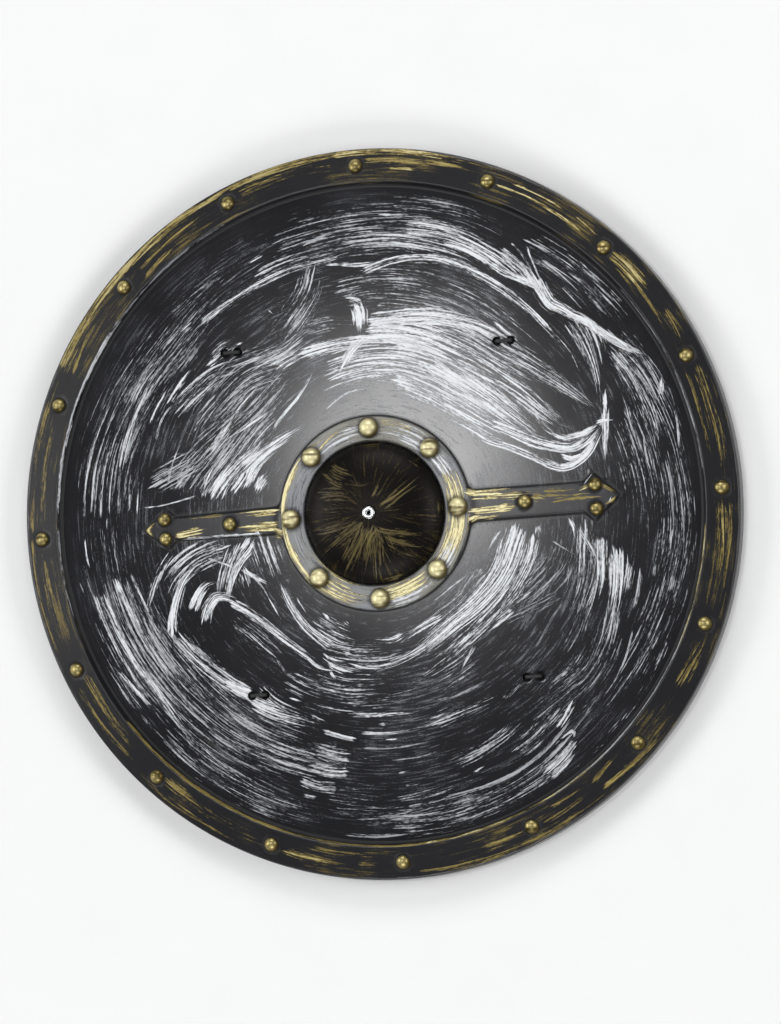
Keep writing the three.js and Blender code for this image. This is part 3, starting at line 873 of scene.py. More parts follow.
LOWER_RIGHT_SWEEPS = [
    silver(24, 0.9, 1, 50, (351, 100), (343, 98), (333, 97), (322, 95), (312, 93), (302, 92),
           (293, 94), (284, 98), (276, 102), (266, 106), end=9),
    silver(6.8, 0.9, 1, 8, (352.5, 114), (349.5, 113.5), (345.5, 113), end=4),
    silver(3.6, 0.9, 0.8, 8, (349, 88), (344, 84), (338, 82)),
    silver(12, 0.66, 0.95, 30, (330, 84), (320, 82), (310, 82), (300, 81), (290, 83), end=6),
    silver(1.8, 0.6, 0.75, 10, (322, 76), (314, 73), (306, 72), (297, 72)),
    silver(6, 0.85, 0.95, 15, (280, 84), (273, 87), (265, 86)),
    silver(14, 0.68, 0.9, 40, (348, 111), (340, 111), (330, 109), (320, 107), (310, 106), (300, 107),
           (290, 110), (279, 116)),
    silver(10, 0.5, 0.3, 15, (333, 139), (327, 129), (321, 121), (316, 116)),
    silver(5, 0.5, 0.65, 25, (329, 119), (318, 110), (308, 108), (300, 112), (292, 116)),
    silver(3.4, 0.7, 0.65, 8, (303.5, 113), (299, 117), (295.5, 121)),
    silver(18, 0.36, 0.8, 20, (300, 119), (290, 121), (280, 124)),
    silver(36, 0.3, 0.5, 30, (347, 131), (340, 128), (332, 121), (325, 115), (317, 109)),
    silver(2, 0.7, 0.5, 10, (347.5, 122), (346, 130), (344.5, 140), (344, 148)),
    silver(20, 0.68, 0.7, 45, (352.5, 146), (347, 147), (342, 149), (337, 151), (332, 152), (325, 153),
           end=18),
    silver(5.1, 0.9, 1, 8, (354.3, 133), (352, 136), (349, 138)),
    silver(4, 0.85, 0.75, 10, (352, 140), (347.5, 149), (343.5, 157)),
    silver(2.7, 0.8, 0.4, 8, (341, 139), (338, 140), (334, 141)),
    silver(2, 0.6, 0.15, 15, (331, 143), (326, 141), (320, 142), (312, 146)),
    silver(12, 0.42, 0.6, 25, (334, 156), (328, 159), (322, 161), (317, 160)),
    silver(16, 0.88, 0.85, 45, (347.5, 168), (343, 171), (338, 174), (332, 177), (326, 179), end=10),
    silver(3.4, 0.9, 0.5, 6, (344, 186), (339, 188), (335, 189)),
    silver(2.7, 0.9, 0.85, 6, (348.5, 165), (345.5, 168), (343, 173)),
    silver(2, 0.85, 0.45, 30, (332, 193), (327, 197), (322, 199), (316, 200)),
    silver(34, 0.34, 0.55, 30, (330, 178), (320, 182), (310, 178), (300, 176)),
    silver(12, 0.52, 0.7, 15, (282, 178), (290, 176), (296, 174), (301, 172)),
    silver(15, 0.5, 0.68, 4, (296, 188), (301, 187), (305, 185.5), (309.5, 184)),
    silver(3.4, 0.9, 0.35, 15, (279, 199), (288, 200), (296, 200), (304, 197), (310, 193)),
    silver(2.7, 0.65, 0.45, 20, (296, 206), (304, 203), (312, 199), (319, 196)),
    silver(20, 0.44, 0.55, 5, (268, 211), (278, 212), (286, 212), (294, 211), (300, 210), (306.5, 208)),
    silver(7.6, 0.75, 0.75, 3, (299, 211), (303, 209.5), (307.5, 206)),
    silver(2, 0.9, 0.7, 3, (305.5, 199), (308.5, 200), (307.5, 205)),
    silver(14, 0.42, 0.5, 20, (262, 208), (272, 206), (282, 204), (290, 204)),
    silver(3.4, 0.85, 0.9, 18, (258.5, 138), (265, 137.5), (272, 137), (280, 139)),
    silver(2.7, 0.85, 0.7, 25, (261.5, 150), (270, 150), (278, 149), (288, 149), (297, 150)),
    silver(12, 0.56, 0.75, 25, (281, 147), (288, 146), (295, 147), (302, 149)),
    silver(2.7, 0.65, 0.3, 15, (283, 134), (290, 136), (297, 137), (303, 139)),
    silver(5.1, 0.6, 0.7, 12, (300, 154), (305, 152), (310, 151)),
    silver(2, 0.85, 0.4, 20, (262, 160), (270, 160), (279, 159)),
    silver(2, 0.55, 0.5, 20, (260, 168), (272, 168), (283, 167)),
    silver(2, 0.9, 0.9, 3, (268.3, 154.5), (271.3, 154.5)),
    silver(3, 0.85, 0.8, 3, (266, 144), (269, 144)),
    silver(2, 0.85, 0.75, 5, (270, 178), (273.3, 176.5)),
    silver(2.7, 0.75, 0.65, 8, (271, 187), (276.5, 185)),
    silver(7.6, 0.5, 0.6, 20, (270, 195), (276, 194), (285, 191)),
    silver(2.7, 0.8, 0.5, 6, (271.5, 201), (275.8, 200)),
    silver(3.4, 0.9, 0.85, 6, (286, 189), (290, 187.5)),
    silver(2.7, 0.8, 0.35, 12, (259.5, 220), (266, 220), (272, 218.5)),
    silver(3.4, 0.5, 0.4, 8, (277, 218), (281, 216)),
    silver(2.7, 0.9, 0.6, 3, (308.3, 148.5), (307.2, 151.5)),
    silver(7, 0.85, 0.95, 20, (300, 84), (291, 84), (283, 86), (275, 90)),
    silver(5, 0.8, 0.85, 15, (288, 96), (280, 99), (272, 102), (264, 104)),
    silver(14, 0.74, 0.85, 45, (350, 156), (345, 158), (340, 161), (334, 163), (328, 164), end=9),
    silver(7, 0.85, 0.85, 12, (322, 116), (316, 113), (309, 111)),
    silver(5, 0.9, 0.85, 5, (306, 192), (310, 189), (313, 186)),
    silver(5, 0.9, 0.85, 5, (299, 216), (303, 214), (306.5, 211)),
    silver(14, 0.5, 0.6, 20, (335, 174), (328, 180), (320, 184)),
    silver(7, 0.8, 0.8, 8, (345, 178), (341, 179), (337, 180)),
    silver(9, 0.7, 0.7, 8, (340, 158), (336, 158), (331, 157)),
]
LOWER_LEFT_SWEEPS = [
    silver(7, 0.85, 0.8, 90, (191, 203), (197, 201), (204, 199), (211, 198), (218, 199), (225, 202),
           (233, 204), (242, 207)),
    silver(6, 0.85, 0.82, 40, (189.5, 190), (197, 187), (204, 185), (211, 184), (218, 184)),
    silver(2.7, 0.85, 0.75, 30, (188.5, 179), (195, 176), (202, 174), (209, 173)),
    silver(3.4, 0.85, 0.75, 40, (191, 208), (199, 207), (205, 206), (212, 206), (219, 208)),
    silver(2, 0.7, 0.35, 8, (188, 217), (192, 215)),
    silver(2, 0.85, 0.2, 12, (188, 211), (194, 209)),
    silver(6, 0.62, 0.6, 10, (203.8, 216.5), (208, 216), (212, 216), (216, 215)),
    silver(2.7, 0.6, 0.5, 40, (215, 217), (224, 216.5), (232, 217), (240, 217)),
    silver(48, 0.56, 0.55, 60, (191, 191), (200, 190), (210, 188), (220, 186), (230, 186)),
    silver(54, 0.5, 0.5, 40, (202, 181), (212, 179), (222, 178), (232, 177), (242, 175), (254, 174)),
    silver(30, 0.48, 0.65, 4, (230, 175), (239, 174.5), (247, 174), (257, 173)),
    silver(5, 0.9, 0.85, 3, (251, 153), (256, 154), (260.5, 155)),
    silver(14, 0.66, 0.75, 3, (250.5, 166), (255, 167), (259.5, 167)),
    silver(9, 0.8, 0.8, 3, (250, 179), (255, 179), (259.5, 177.5)),
    silver(9, 0.72, 0.7, 3, (249, 190), (253, 191), (257.5, 189.5)),
    silver(3.4, 0.85, 0.7, 3, (250, 199.5), (253.5, 198.5)),
    silver(24, 0.46, 0.5, 40, (221, 211), (235, 211), (248, 211), (258, 210)),
    silver(34, 0.25, 0.45, 20, (256, 196), (262, 196), (268, 197)),
    silver(14, 0.78, 0.75, 8, (206, 164), (214, 160), (221, 156), (227, 153), (231, 151)),
    silver(7.6, 0.9, 1, 4, (223, 157), (228, 153.5), (230.8, 151)),
    silver(8.5, 0.85, 0.88, 20, (231.5, 157), (238, 155), (245, 152), (252, 151)),
    silver(2.7, 0.9, 0.95, 8, (239.5, 140), (244.5, 139)),
    silver(3.4, 0.85, 0.85, 8, (246.5, 145), (253.5, 147)),
    silver(2, 0.85, 0.6, 15, (230, 120), (235, 125), (242.5, 124)),
    silver(3.2, 0.85, 0.8, 20, (239, 109), (246, 112), (254, 108)),
    silver(6, 0.9, 1, 10, (244.5, 103), (249, 105), (254.5, 104)),
    silver(3.2, 0.85, 0.85, 12, (256.5, 104.5), (263, 106), (271, 105.5)),
    silver(26, 0.42, 0.75, 30, (237, 128), (246, 128), (256, 127), (266, 125), (277, 123)),
    silver(18, 0.34, 0.8, 15, (246, 117), (254, 118), (262, 117), (270, 116)),
    silver(7.6, 0.66, 0.85, 10, (186, 146), (190, 157), (194, 166), (198, 175)),
    silver(2.7, 0.9, 0.75, 12, (185, 126), (186.5, 137), (188.5, 147), (191.5, 157)),
    silver(22, 0.62, 0.75, 16, (188.5, 108), (189, 120), (190.5, 134), (193.5, 148), (197, 158)),
    silver(11, 0.88, 1, 20, (206, 166), (202, 160), (198, 152), (194, 142), (190, 127), end=5),
    silver(11, 1, 1, 20, (203.5, 147), (200, 137), (198, 128), (199, 117), end=6),
    silver(12, 0.85, 0.9, 25, (208, 143), (204.3, 134), (203, 125), (206, 117), (212, 111), end=7),
    silver(8.5, 0.85, 0.92, 30, (206, 120), (213, 112), (221, 108), (230, 107), (238, 108), (245, 111),
           (251.5, 117), end=4),
    silver(14, 0.5, 0.75, 20, (211, 123), (219, 119), (226, 118), (233, 119)),
    silver(3.4, 0.9, 1, 4, (248.5, 111.5), (252, 117.5)),
    silver(6, 0.9, 0.97, 8, (190.5, 89), (194, 98), (198, 106.5), (202, 114), (206.5, 122), end=5),
    silver(15, 1, 1, 10, (186.5, 86), (190, 91), (194, 99)),
    silver(4, 0.9, 0.95, 6, (183.3, 84), (188.5, 82)),
    silver(2, 0.85, 0.85, 8, (190, 123), (193.5, 112), (197, 104)),
    silver(30, 0.68, 0.8, 25, (187, 82), (196, 81), (204, 82), (211, 84)),
    silver(1.7, 0.85, 0.85, 10, (193, 72), (200, 71.5), (207, 73)),
    silver(5, 0.9, 0.97, 8, (198, 101), (203, 95), (209, 88)),
    silver(2, 0.9, 0.97, 20, (197, 100), (206, 94.5), (214, 95), (222, 98), (229, 103)),
    silver(3.5, 0.9, 0.85, 8, (212, 82), (219, 85), (226, 88), (234, 91.5), (241, 94), (250, 97),
           end=9),
    silver(2.4, 0.85, 0.8, 10, (220.5, 79.5), (227, 82), (233.5, 85)),
    silver(2, 0.9, 0.6, 5, (211, 79), (214, 74)),
    silver(3.4, 0.9, 0.9, 4, (237.5, 77), (242, 79)),
    silver(4, 0.85, 0.9, 4, (249, 77), (252.5, 79)),
    silver(4, 0.9, 0.9, 3, (250.5, 83), (253.3, 83)),
    silver(4, 0.9, 0.85, 3, (252.5, 96), (256, 97)),
    silver(20, 0.6, 0.8, 15, (236, 84), (246, 86), (258, 88)),
    silver(3, 0.9, 0.9, 3, (183.5, 150.5), (184.8, 150.5)),
    silver(24, 0.58, 0.7, 20, (244, 100), (254, 99), (264, 98), (276, 96)),
    silver(16, 0.7, 0.85, 15, (188, 98), (194, 107), (200, 116), (206, 124)),
    silver(5, 0.75, 0.85, 12, (206, 213), (211, 210), (216, 208)),
    silver(6, 0.9, 0.9, 6, (247, 107), (252, 109.5), (257, 110)),
    silver(6, 0.9, 0.9, 8, (226, 157), (232, 153.5), (240, 149.5)),
    silver(10, 0.62, 0.75, 14, (231, 144), (238, 147), (246, 146)),
    silver(9, 0.85, 0.95, 8, (197, 101), (202, 102), (208, 104)),
]
# Lines along the rim's inner edge: partly paint caught on the edge, partly painted highlight where the edge
# catches the light, gold below and silver at the sides
RIM_EDGE_PAINT_AND_HIGHLIGHT_SWEEPS = [
    silver(1.8, 0.9, 1, 25, (139, 226.4), (150, 226.4), (160, 226.4), (170, 226.4), (181, 226.4)),
    silver(1.4, 0.85, 0.35, 25, (178, 226.4), (188, 226.4), (200, 226.4)),
    silver(1.3, 0.8, 0.3, 15, (114, 226.4), (125, 226.4), (136, 226.4), (144, 226.4)),
    gold(1.9, 1, 0.45, 40, (214, 226.6), (226, 226.6), (240, 226.6), (254, 226.6), (268, 226.6),
         (282, 226.6)),
    gold(1.7, 1, 0.8, 25, (274, 226.6), (290, 226.6), (305, 226.6), (318, 226.6)),
    silver(1.8, 0.9, 0.65, 25, (298, 226.4), (312, 226.4), (326, 226.4), (340, 226.4)),
    gold(1.6, 1, 0.8, 20, (330, 226.6), (345, 226.6), (357, 226.6)),
    silver(2, 0.9, 0.6, 15, (3, 226.4), (12, 226.4), (23, 226.4)),
    silver(1.5, 0.85, 0.4, 20, (22, 226.4), (32, 226.4), (41, 226.4)),
]
RIM_SWEEPS = [
    gold(6, 1, 0.6, 36, (152, 246.5), (145, 246.5), (135, 246.5), (125, 247), (115, 247), (109, 247.5)),
    gold(5, 1, 0.58, 15, (112, 247), (105, 247), (97, 247.5), (92, 247.5)),
    gold(9, 0.42, 0.57, 36, (110.5, 241), (104, 241), (97, 240.5), (93, 240)),
    gold(5, 0.95, 0.68, 30, (94, 247.5), (85, 247.5), (76, 247.5), (68, 247.5)),
    gold(5, 0.9, 0.55, 20, (89, 241.5), (80, 242), (70, 242.5)),
    gold(3, 1, 0.68, 6, (84.7, 236), (79.3, 236)),
    gold(3, 0.8, 0.5, 20, (131.5, 238), (124, 239), (116.5, 240)),
    gold(3, 0.9, 0.52, 8, (131.5, 231.5), (127, 233), (123.5, 234)),
    gold(9, 0.42, 0.6, 25, (152.5, 243), (147, 243.5), (142, 244), (137, 245)),
    gold(3, 0.75, 0.49, 12, (152, 237), (146, 239), (141.5, 240)),
    gold(4, 0.65, 0.41, 20, (179, 245.5), (170, 245.5), (160, 245.5), (153, 245.5)),
    gold(5, 0.55, 0.38, 15, (176, 238), (168, 238), (160.5, 238)),
    gold(7, 0.45, 0.46, 22, (183.5, 238.5), (190, 238.5), (199.5, 238)),
    gold(3, 0.7, 0.38, 12, (180, 246), (190, 246), (199, 246)),
    gold(8, 0.65, 0.45, 25, (203.5, 234), (209, 234), (214, 234.5), (221, 234)),
    gold(4, 0.65, 0.38, 12, (205, 243), (212, 243), (220, 242)),
    gold(8, 0.62, 0.54, 27, (226, 235), (232, 235.5), (238, 236.5), (243.5, 238)),
    gold(4, 0.6, 0.38, 15, (222, 245), (232, 245), (242, 245)),
    gold(7, 0.75, 0.61, 22, (249.5, 239.5), (254, 240), (260.5, 241)),
    gold(5, 0.6, 0.41, 12, (254, 233), (262, 233), (267, 233)),
    gold(8, 0.55, 0.51, 22, (262.5, 239), (266.5, 238.5)),
    gold(9, 0.65, 0.54, 18, (283.5, 237.5), (288, 238), (290.8, 237.5)),
    gold(4, 0.75, 0.41, 25, (272, 246), (280, 246.3), (290, 246.5), (300, 247), (305, 247)),
    gold(3, 0.75, 0.45, 10, (296.5, 233), (301, 234), (303.5, 234)),
    gold(3.5, 0.65, 0.38, 10, (294.5, 240), (299, 239.5), (303.5, 239)),
    gold(9, 0.55, 0.5, 22, (305, 236), (309, 234.5), (313, 233.5)),
    gold(4.5, 0.9, 0.52, 20, (305.5, 243), (311, 244), (316, 245), (321, 246.5)),
    gold(7, 0.47, 0.43, 18, (318.5, 237), (323.5, 238)),
    gold(9, 0.69, 0.54, 18, (326, 238), (331, 239.5), (335.8, 242)),
    gold(9, 0.72, 0.57, 25, (357.8, 237), (353, 238), (348, 239), (341.5, 239)),
    gold(3, 0.7, 0.41, 15, (358, 243.5), (350, 243.5), (341, 243.5)),
    gold(9, 0.53, 0.51, 29, (20.5, 242), (14, 241), (8, 241), (3, 240)),
    gold(4, 0.6, 0.41, 14, (20, 234), (12, 233), (5, 233)),
    gold(6, 0.62, 0.51, 14, (31, 242), (27.5, 241.5), (24.3, 240)),
    gold(12, 0.75, 0.65, 11, (43.7, 238), (41, 239), (38, 239), (34.5, 239)),
    gold(3, 0.9, 0.4, 15, (38, 237), (33, 235.5), (27.5, 235)),
    gold(2.4, 1, 0.71, 8, (66.3, 238), (60, 238.5), (54, 238), (48.2, 236)),
    gold(2.6, 1, 0.71, 8, (63.5, 243), (58, 243.5), (53.3, 243)),
    gold(2.4, 0.95, 0.68, 8, (52.3, 243.5), (49, 242), (46.3, 240.5)),
]
RING_PAINT_AND_HIGHLIGHT_SWEEPS = [
    gold(5, 1, 0.85, 40, (206, 63.6), (190, 63.6), (175, 64), (160, 64), (145, 63.5), (130, 62.8),
         (112, 62.5)),
    gold(3, 0.9, 0.85, 15, (130, 57), (118, 59.5), (104, 61)),
    gold(6, 1, 1, 20, (197, 63.6), (212, 63.8), (226, 63.8), (240, 63.2), (250, 62.5)),
    gold(10, 0.75, 0.95, 20, (228, 56.5), (240, 57), (252, 57.5), (266, 58)),
    gold(12, 1, 0.98, 15, (264, 56.5), (275, 56), (286, 55.5), (297, 55.5), (312, 56)),
    gold(15, 1, 1, 20, (-38, 57.5), (-20, 57.5), (0, 57.5), (18, 57.5), (38, 57.5)),
    silver(14, 0.75, 0.7, 20, (42, 57.5), (55, 57.5), (70, 57.5), (86, 57.5)),
    silver(3, 0.9, 0.75, 12, (94, 60), (104, 60.5), (114, 61)),
    silver(12, 0.7, 0.7, 20, (95, 56), (110, 56), (128, 55.5)),
    silver(10, 0.6, 0.3, 20, (142, 55.5), (158, 55.5), (174, 55)),
    silver(10, 0.6, 0.3, 20, (186, 55), (200, 55), (218, 55)),
    silver(9, 0.8, 0.8, 12, (276, 62), (292, 62.5), (308, 62.5)),
    silver(12, 0.6, 0.8, 14, (312, 60), (322, 60), (334, 60)),
    # A painted highlight: a thin bright line along the lower part of the ring's inner edge
    gold(2.4, 1, 1, 14, (205, 50.2), (222, 50), (240, 50), (258, 50)),
    gold(7, 0.85, 1, 14, (232, 61), (248, 61), (262, 61.5)),
    gold(9, 0.9, 1, 10, (312, 56), (321, 56), (330, 56.5)),
    silver(12, 0.85, 1, 14, (22, 58.5), (36, 58), (50, 57.5)),
    silver(12, 0.85, 0.95, 14, (-44, 59), (-30, 58.5), (-16, 58)),
    gold(5, 0.8, 0.95, 20, (60, 62), (80, 62.5), (100, 62.5)),
]
BAR_PAINT_AND_HIGHLIGHT_SWEEPS = [
    gold(6.5, 1, 1, 14, at(66, 6), at(82, 5.5), at(96, 5), at(112, 5)),
    gold(7, 1, 1, 10, at(66, -3.5), at(82, -3.5), at(96, -3.2), at(101, -3)),
    gold(3.5, 0.95, 0.95, 8, at(64, -9), at(78, -8.6), at(91, -8)),
    # A painted highlight: a thin line along the right bar's upper edge, where its wall catches the light
    gold(2.4, 0.9, 0.85, 8, at(66, 9.6), at(80, 9.4), at(96, 9.2)),
    gold(11, 0.78, 0.6, 10, at(108, 3), at(114, 2.5), at(120, 1)),
    gold(8, 0.78, 0.5, 20, at(116, 5), at(130, 5), at(147, 5)),
    gold(5, 0.85, 0.5, 14, at(122, -1), at(140, 0.5), at(158, 0)),
    gold(3.5, 0.9, 0.6, 4, at(154, 9.5), at(161, 5.5), at(167, 0.8)),
    gold(6, 0.85, 0.6, 4, at(160, -6), at(165, -3), at(167, -1)),
    gold(5.5, 1, 0.8, 14, at(-66, 6.5), at(-80, 6.5), at(-97, 6)),
    gold(5, 0.82, 0.45, 20, at(-104, 5.8), at(-120, 5.5), at(-136, 5)),
    gold(9.5, 0.95, 0.8, 10, at(-66, -4), at(-80, -3.5), at(-97, -3)),
    gold(6.5, 1, 0.9, 8, at(-143, -5), at(-132, -4), at(-117, -2)),
    silver(2.4, 0.9, 1, 8, at(-136, -7.2), at(-118, -7.6), at(-98, -7.8), at(-79, -8)),
    gold(3.2, 0.95, 0.7, 4, at(-156, 4.5), at(-161.5, 1), at(-157, -5)),
    gold(10, 1, 0.85, 6, at(-63, -10), at(-67, -9), at(-74, -8)),
    gold(7, 1, 1, 6, at(63, 11), at(66, 9.5), at(74, 8)),
    gold(5, 1, 1, 6, at(64, -11), at(68, -9), at(75, -7)),
    gold(4, 0.85, 0.8, 6, at(142, 5), at(148, 7.5), at(153, 10)),
]
BOSS_SWEEPS = [
    gold(14, 0.74, 0.16, 16, at(-3, -8), at(-12, -24), at(-24, -40)),
    gold(14, 0.74, 0.18, 16, at(-1, -9), at(-5, -26), at(-12, -44)),
    gold(12, 0.74, 0.16, 16, at(2, -9), at(2, -26), at(0, -45)),
    gold(12, 0.72, 0.13, 16, at(5, -9), at(10, -24), at(16, -40)),
    gold(9, 0.67, 0.16, 14, at(-6, -6), at(-20, -16), at(-36, -26)),
    gold(9, 0.62, 0.08, 14, at(-8, -3), at(-24, -8), at(-42, -10)),
    gold(6, 0.87, 0.23, 14, at(4, -10), at(18, -15), at(37, -17)),
    gold(5, 0.87, 0.21, 14, at(8, -17), at(20, -22), at(37, -25)),
    gold(4, 0.74, 0.16, 10, at(10, -22), at(22, -30), at(32, -34)),
    gold(9, 0.8, 0.26, 6, at(-4, -22), at(0, -15), at(5, -8)),
    gold(2.6, 0.95, 0.29, 12, at(7, 4), at(18, 10), at(34, 22)),
    gold(2, 0.9, 0.21, 12, at(9, 1), at(22, 9), at(38, 19)),
    gold(2, 0.84, 0.16, 10, at(12, 8), at(24, 17), at(35, 26)),
    gold(2.4, 0.9, 0.21, 8, at(2, 9), at(6, 15), at(8, 24)),
    gold(1.8, 0.78, 0.16, 8, at(5, 9), at(10, 15), at(13, 23)),
    gold(10, 0.69, 0.18, 6, at(-32, 30), at(-24, 24), at(-14, 19)),
    gold(8, 0.67, 0.16, 6, at(-27, 35), at(-20, 30), at(-12, 27)),
    gold(12, 0.56, 0.05, 12, at(-36, 14), at(-22, 14), at(-8, 10)),
    gold(10, 0.5, 0.05, 12, at(-34, 4), at(-22, 4), at(-9, 2)),
    gold(9, 0.47, 0.05, 12, at(-18, 20), at(-6, 17), at(4, 18)),
    gold(5, 0.67, 0.16, 5, at(36, 28), at(31, 33), at(26, 37)),
    gold(5, 0.56, 0.08, 5, at(-4, 46), at(2, 46.5), at(8, 46)),
    gold(5, 0.56, 0.1, 5, at(46, 6), at(47, 0), at(46, -5)),
    gold(6, 0.56, 0.13, 5, at(4, -46), at(10, -45), at(17, -43)),
]
PAINT_AND_HIGHLIGHT_SWEEPS = (
    UPPER_LEFT_SWEEPS + TOP_SWEEPS + UPPER_RIGHT_PAINT_AND_HIGHLIGHT_SWEEPS + LOWER_RIGHT_SWEEPS + LOWER_LEFT_SWEEPS
    + RIM_SWEEPS + RIM_EDGE_PAINT_AND_HIGHLIGHT_SWEEPS + RING_PAINT_AND_HIGHLIGHT_SWEEPS + BAR_PAINT_AND_HIGHLIGHT_SWEEPS + BOSS_SWEEPS
)


def distance_along(line):
    return np.concatenate(([0], np.cumsum(np.hypot(*np.diff(line, axis=0).T))))


def places_at(stops, gone, line):
    """Places on a line where the distance along it reaches each stop."""
    return np.column_stack((np.interp(stops, gone, line[:, 0]), np.interp(stops, gone, line[:, 1])))


def smooth_path(path):
    """Places every few millimetres along a curve through the path's points."""
    knots = np.array(path, float)
    knots[:, 0] = np.unwrap(knots[:, 0], period=360)
    knots = np.vstack((2 * knots[0] - knots[1], knots, 2 * knots[-1] - knots[-2]))
    share = np.linspace(0, 1, CURVE_PARTS, endpoint=False)[:, None]
    found = []
    for a, b, c, d in zip(knots, knots[1:], knots[2:], knots[3:]):
        curve = 2 * b + (c - a) * share + (2 * a - 5 * b + 4 * c - d) * share ** 2
        found.append(0.5 * (curve + (3 * b - 3 * c + d - a) * share ** 3))
    found.append(knots[-2:-1])
    angle, radius = np.concatenate(found).T
    places = np.column_stack((radius * np.cos(np.radians(angle)), radius * np.sin(np.radians(angle))))
    gone = distance_along(places)
    count = max(2, round(gone[-1] / STROKE_STEP) + 1)
    return places_at(np.linspace(0, gone[-1], count), gone, places)


def stroke_places(line, points):
    """Distance along a line, signed distance across it and the line's length, for each point."""
    start, step = line[:-1], np.diff(line, axis=0)
    length = np.hypot(*step.T)
    gone = distance_along(line)
    best = np.full(len(points), np.inf)
    along = np.zeros(len(points))
    across = np.zeros(len(points))
    for i in range(len(step)):
        offset = points - start[i]
        share = offset @ step[i] / length[i] ** 2
        low = -ENDLESS if i == 0 else 0
        high = ENDLESS if i == len(step) - 1 else 1
        held = np.clip(share, low, high)
        reach = np.hypot(*(offset - held[:, None] * step[i]).T)
        side = np.sign(step[i][0] * offset[:, 1] - step[i][1] * offset[:, 0])
        nearer = reach < best
        best = np.where(nearer, reach, best)
        along = np.where(nearer, gone[i] + held * length[i], along)
        across = np.where(nearer, side * reach, across)
    return along, across, gone[-1]


def brush_layers(sweeps, points):
    """Packs the sweeps into layers that hardly overlap, and gives two vectors for each point and layer.

    The first is the distance along the stroke, across it and to its end as a share of the fade.
    The second is the cover, a code for sweep, paint and body, and half the stroke's widest width.
    """
    strokes = np.zeros((LAYERS, len(points), 3))
    finishes = np.zeros((LAYERS, len(points), 3))
    strokes[:] = NO_STROKE
    taken = np.zeros((LAYERS, len(points)), bool)
    placed = []
    for number, sweep in enumerate(sweeps):
        line = smooth_path(sweep.path)
        widest = max(sweep.width, sweep.end_width) / 2
        past = min(END_REACH + widest / 2, LONGEST_END)
        reach = widest * ZONE_SPREAD + ZONE_EDGE + past + SPARE
        low, high = line.min(axis=0) - reach, line.max(axis=0) + reach
        near = np.flatnonzero(np.all((points > low) & (points < high), axis=1))
        along, across, total = stroke_places(line, points[near])
        half = mixed(sweep.width, sweep.end_width, np.clip(along / total, 0, 1)) / 2
        beyond = np.maximum(-along, along - total)
        aside = np.abs(across)
        limit = half * ZONE_SPREAD + ZONE_EDGE
        zone = (aside < limit) & (beyond < past + END_EDGE)
        cap = 1 - smoothstep(aside, half * CAP_SPREAD + CAP_EDGE, limit)
        cap *= 1 - smoothstep(beyond, past, past + END_EDGE)
        stroke = np.column_stack((along, across * widest / half, (total - along) / sweep.fade))
        code = np.full(len(near), 2 * number + sweep.paint + np.clip(sweep.body, *BODY_RANGE))
        finish = np.column_stack((sweep.cover * cap, code, np.full(len(near), widest)))
        placed.append((near[zone], stroke[zone], finish[zone]))
    for chosen, stroke, finish in sorted(placed, key=lambda found: -len(found[0])):
        clashes = [np.count_nonzero(taken[layer, chosen]) for layer in range(LAYERS)]
        layer = int(np.argmin(clashes))
        strokes[layer, chosen] = stroke
        finishes[layer, chosen] = finish
        taken[layer, chosen] = True
    return strokes, finishes


# Painted shade: dark lines along the forms' feet, where the paint leaves bare plastic and the colour is
# drawn darker than the plastic, as (distance of the line, width) in millimetres

FIELD_CREVICE_SHADE = (224.5, 0.7)
WALL_CREVICE_SHADE = (-0.5, 0.55)
BOSS_CREVICE_SHADE = (48.9, 0.6)
HEAD_CREVICE_SHADE = (0.35, 0.55)

# Edges of the masks in millimetres, as in the walls between forms

RIM_MASK = (225.2, 226.0)
RING_INNER_MASK = (-0.3, 0.2)
RING_OUTER_MASK = (-0.2, 0.3)
BAR_MASK = (-0.2, 0.4)

# The gilding of a rivet head, with painted light and shade: its value is highest at a painted lit spot a
# little up and to the left of its middle and falls towards its edge

HEAD_MASK_INSET = 0.1
BRIGHT_OFFSET = 0.9
SHADE_SHARE = 0.5
SHADE_RANGE = (0.35, 1.12)


def crevice_shade_at(distance, line):
    return np.exp(-((distance - line[0] * MM) / (line[1] * MM)) ** 2)


def surface_masks(size, points):
    """Two vectors for each point: rivet head with its painted light and shade, ring and boss, then painted
    shade along the forms' feet, rim and bar.
    """
    radius = np.hypot(*points.T)
    raised = raised_distance(size, points)
    gilt_and_shade = np.zeros(len(points))
    crevice_bare_and_shade = np.maximum(crevice_shade_at(radius, FIELD_CREVICE_SHADE), crevice_shade_at(raised, WALL_CREVICE_SHADE))
    crevice_bare_and_shade = np.maximum(crevice_bare_and_shade, crevice_shade_at(radius, BOSS_CREVICE_SHADE))
    for x, y, head in head_places():
        beside, above = points[:, 0] - x, points[:, 1] - y
        outside = np.hypot(beside, above) - head.radius * MM
        inside = outside < -HEAD_MASK_INSET * MM
        # Painted light and shade: distance from the painted lit spot up and to the left of the head's
        # middle
        lit = np.hypot(beside + BRIGHT_OFFSET * MM, above - BRIGHT_OFFSET * MM) / (head.radius * MM)
        gilt_and_shade = np.where(inside, 1 - SHADE_SHARE * smoothstep(lit, *SHADE_RANGE), gilt_and_shade)
        crevice_bare_and_shade = np.where(inside, 0, np.maximum(crevice_bare_and_shade, crevice_shade_at(outside, HEAD_CREVICE_SHADE)))
    ring = over_wall(radius, size.ring_inner, RING_INNER_MASK)
    ring *= 1 - over_wall(radius, size.ring_outer, RING_OUTER_MASK)
    boss = 1 - smoothstep(radius, size.boss_radius, size.ring_inner)
    rim = over_wall(radius, 0, RIM_MASK)
    bar = over_wall(raised, 0, BAR_MASK) * (radius > size.ring_outer)
    return np.column_stack((gilt_and_shade, ring, boss)), np.column_stack((crevice_bare_and_shade, rim, bar))


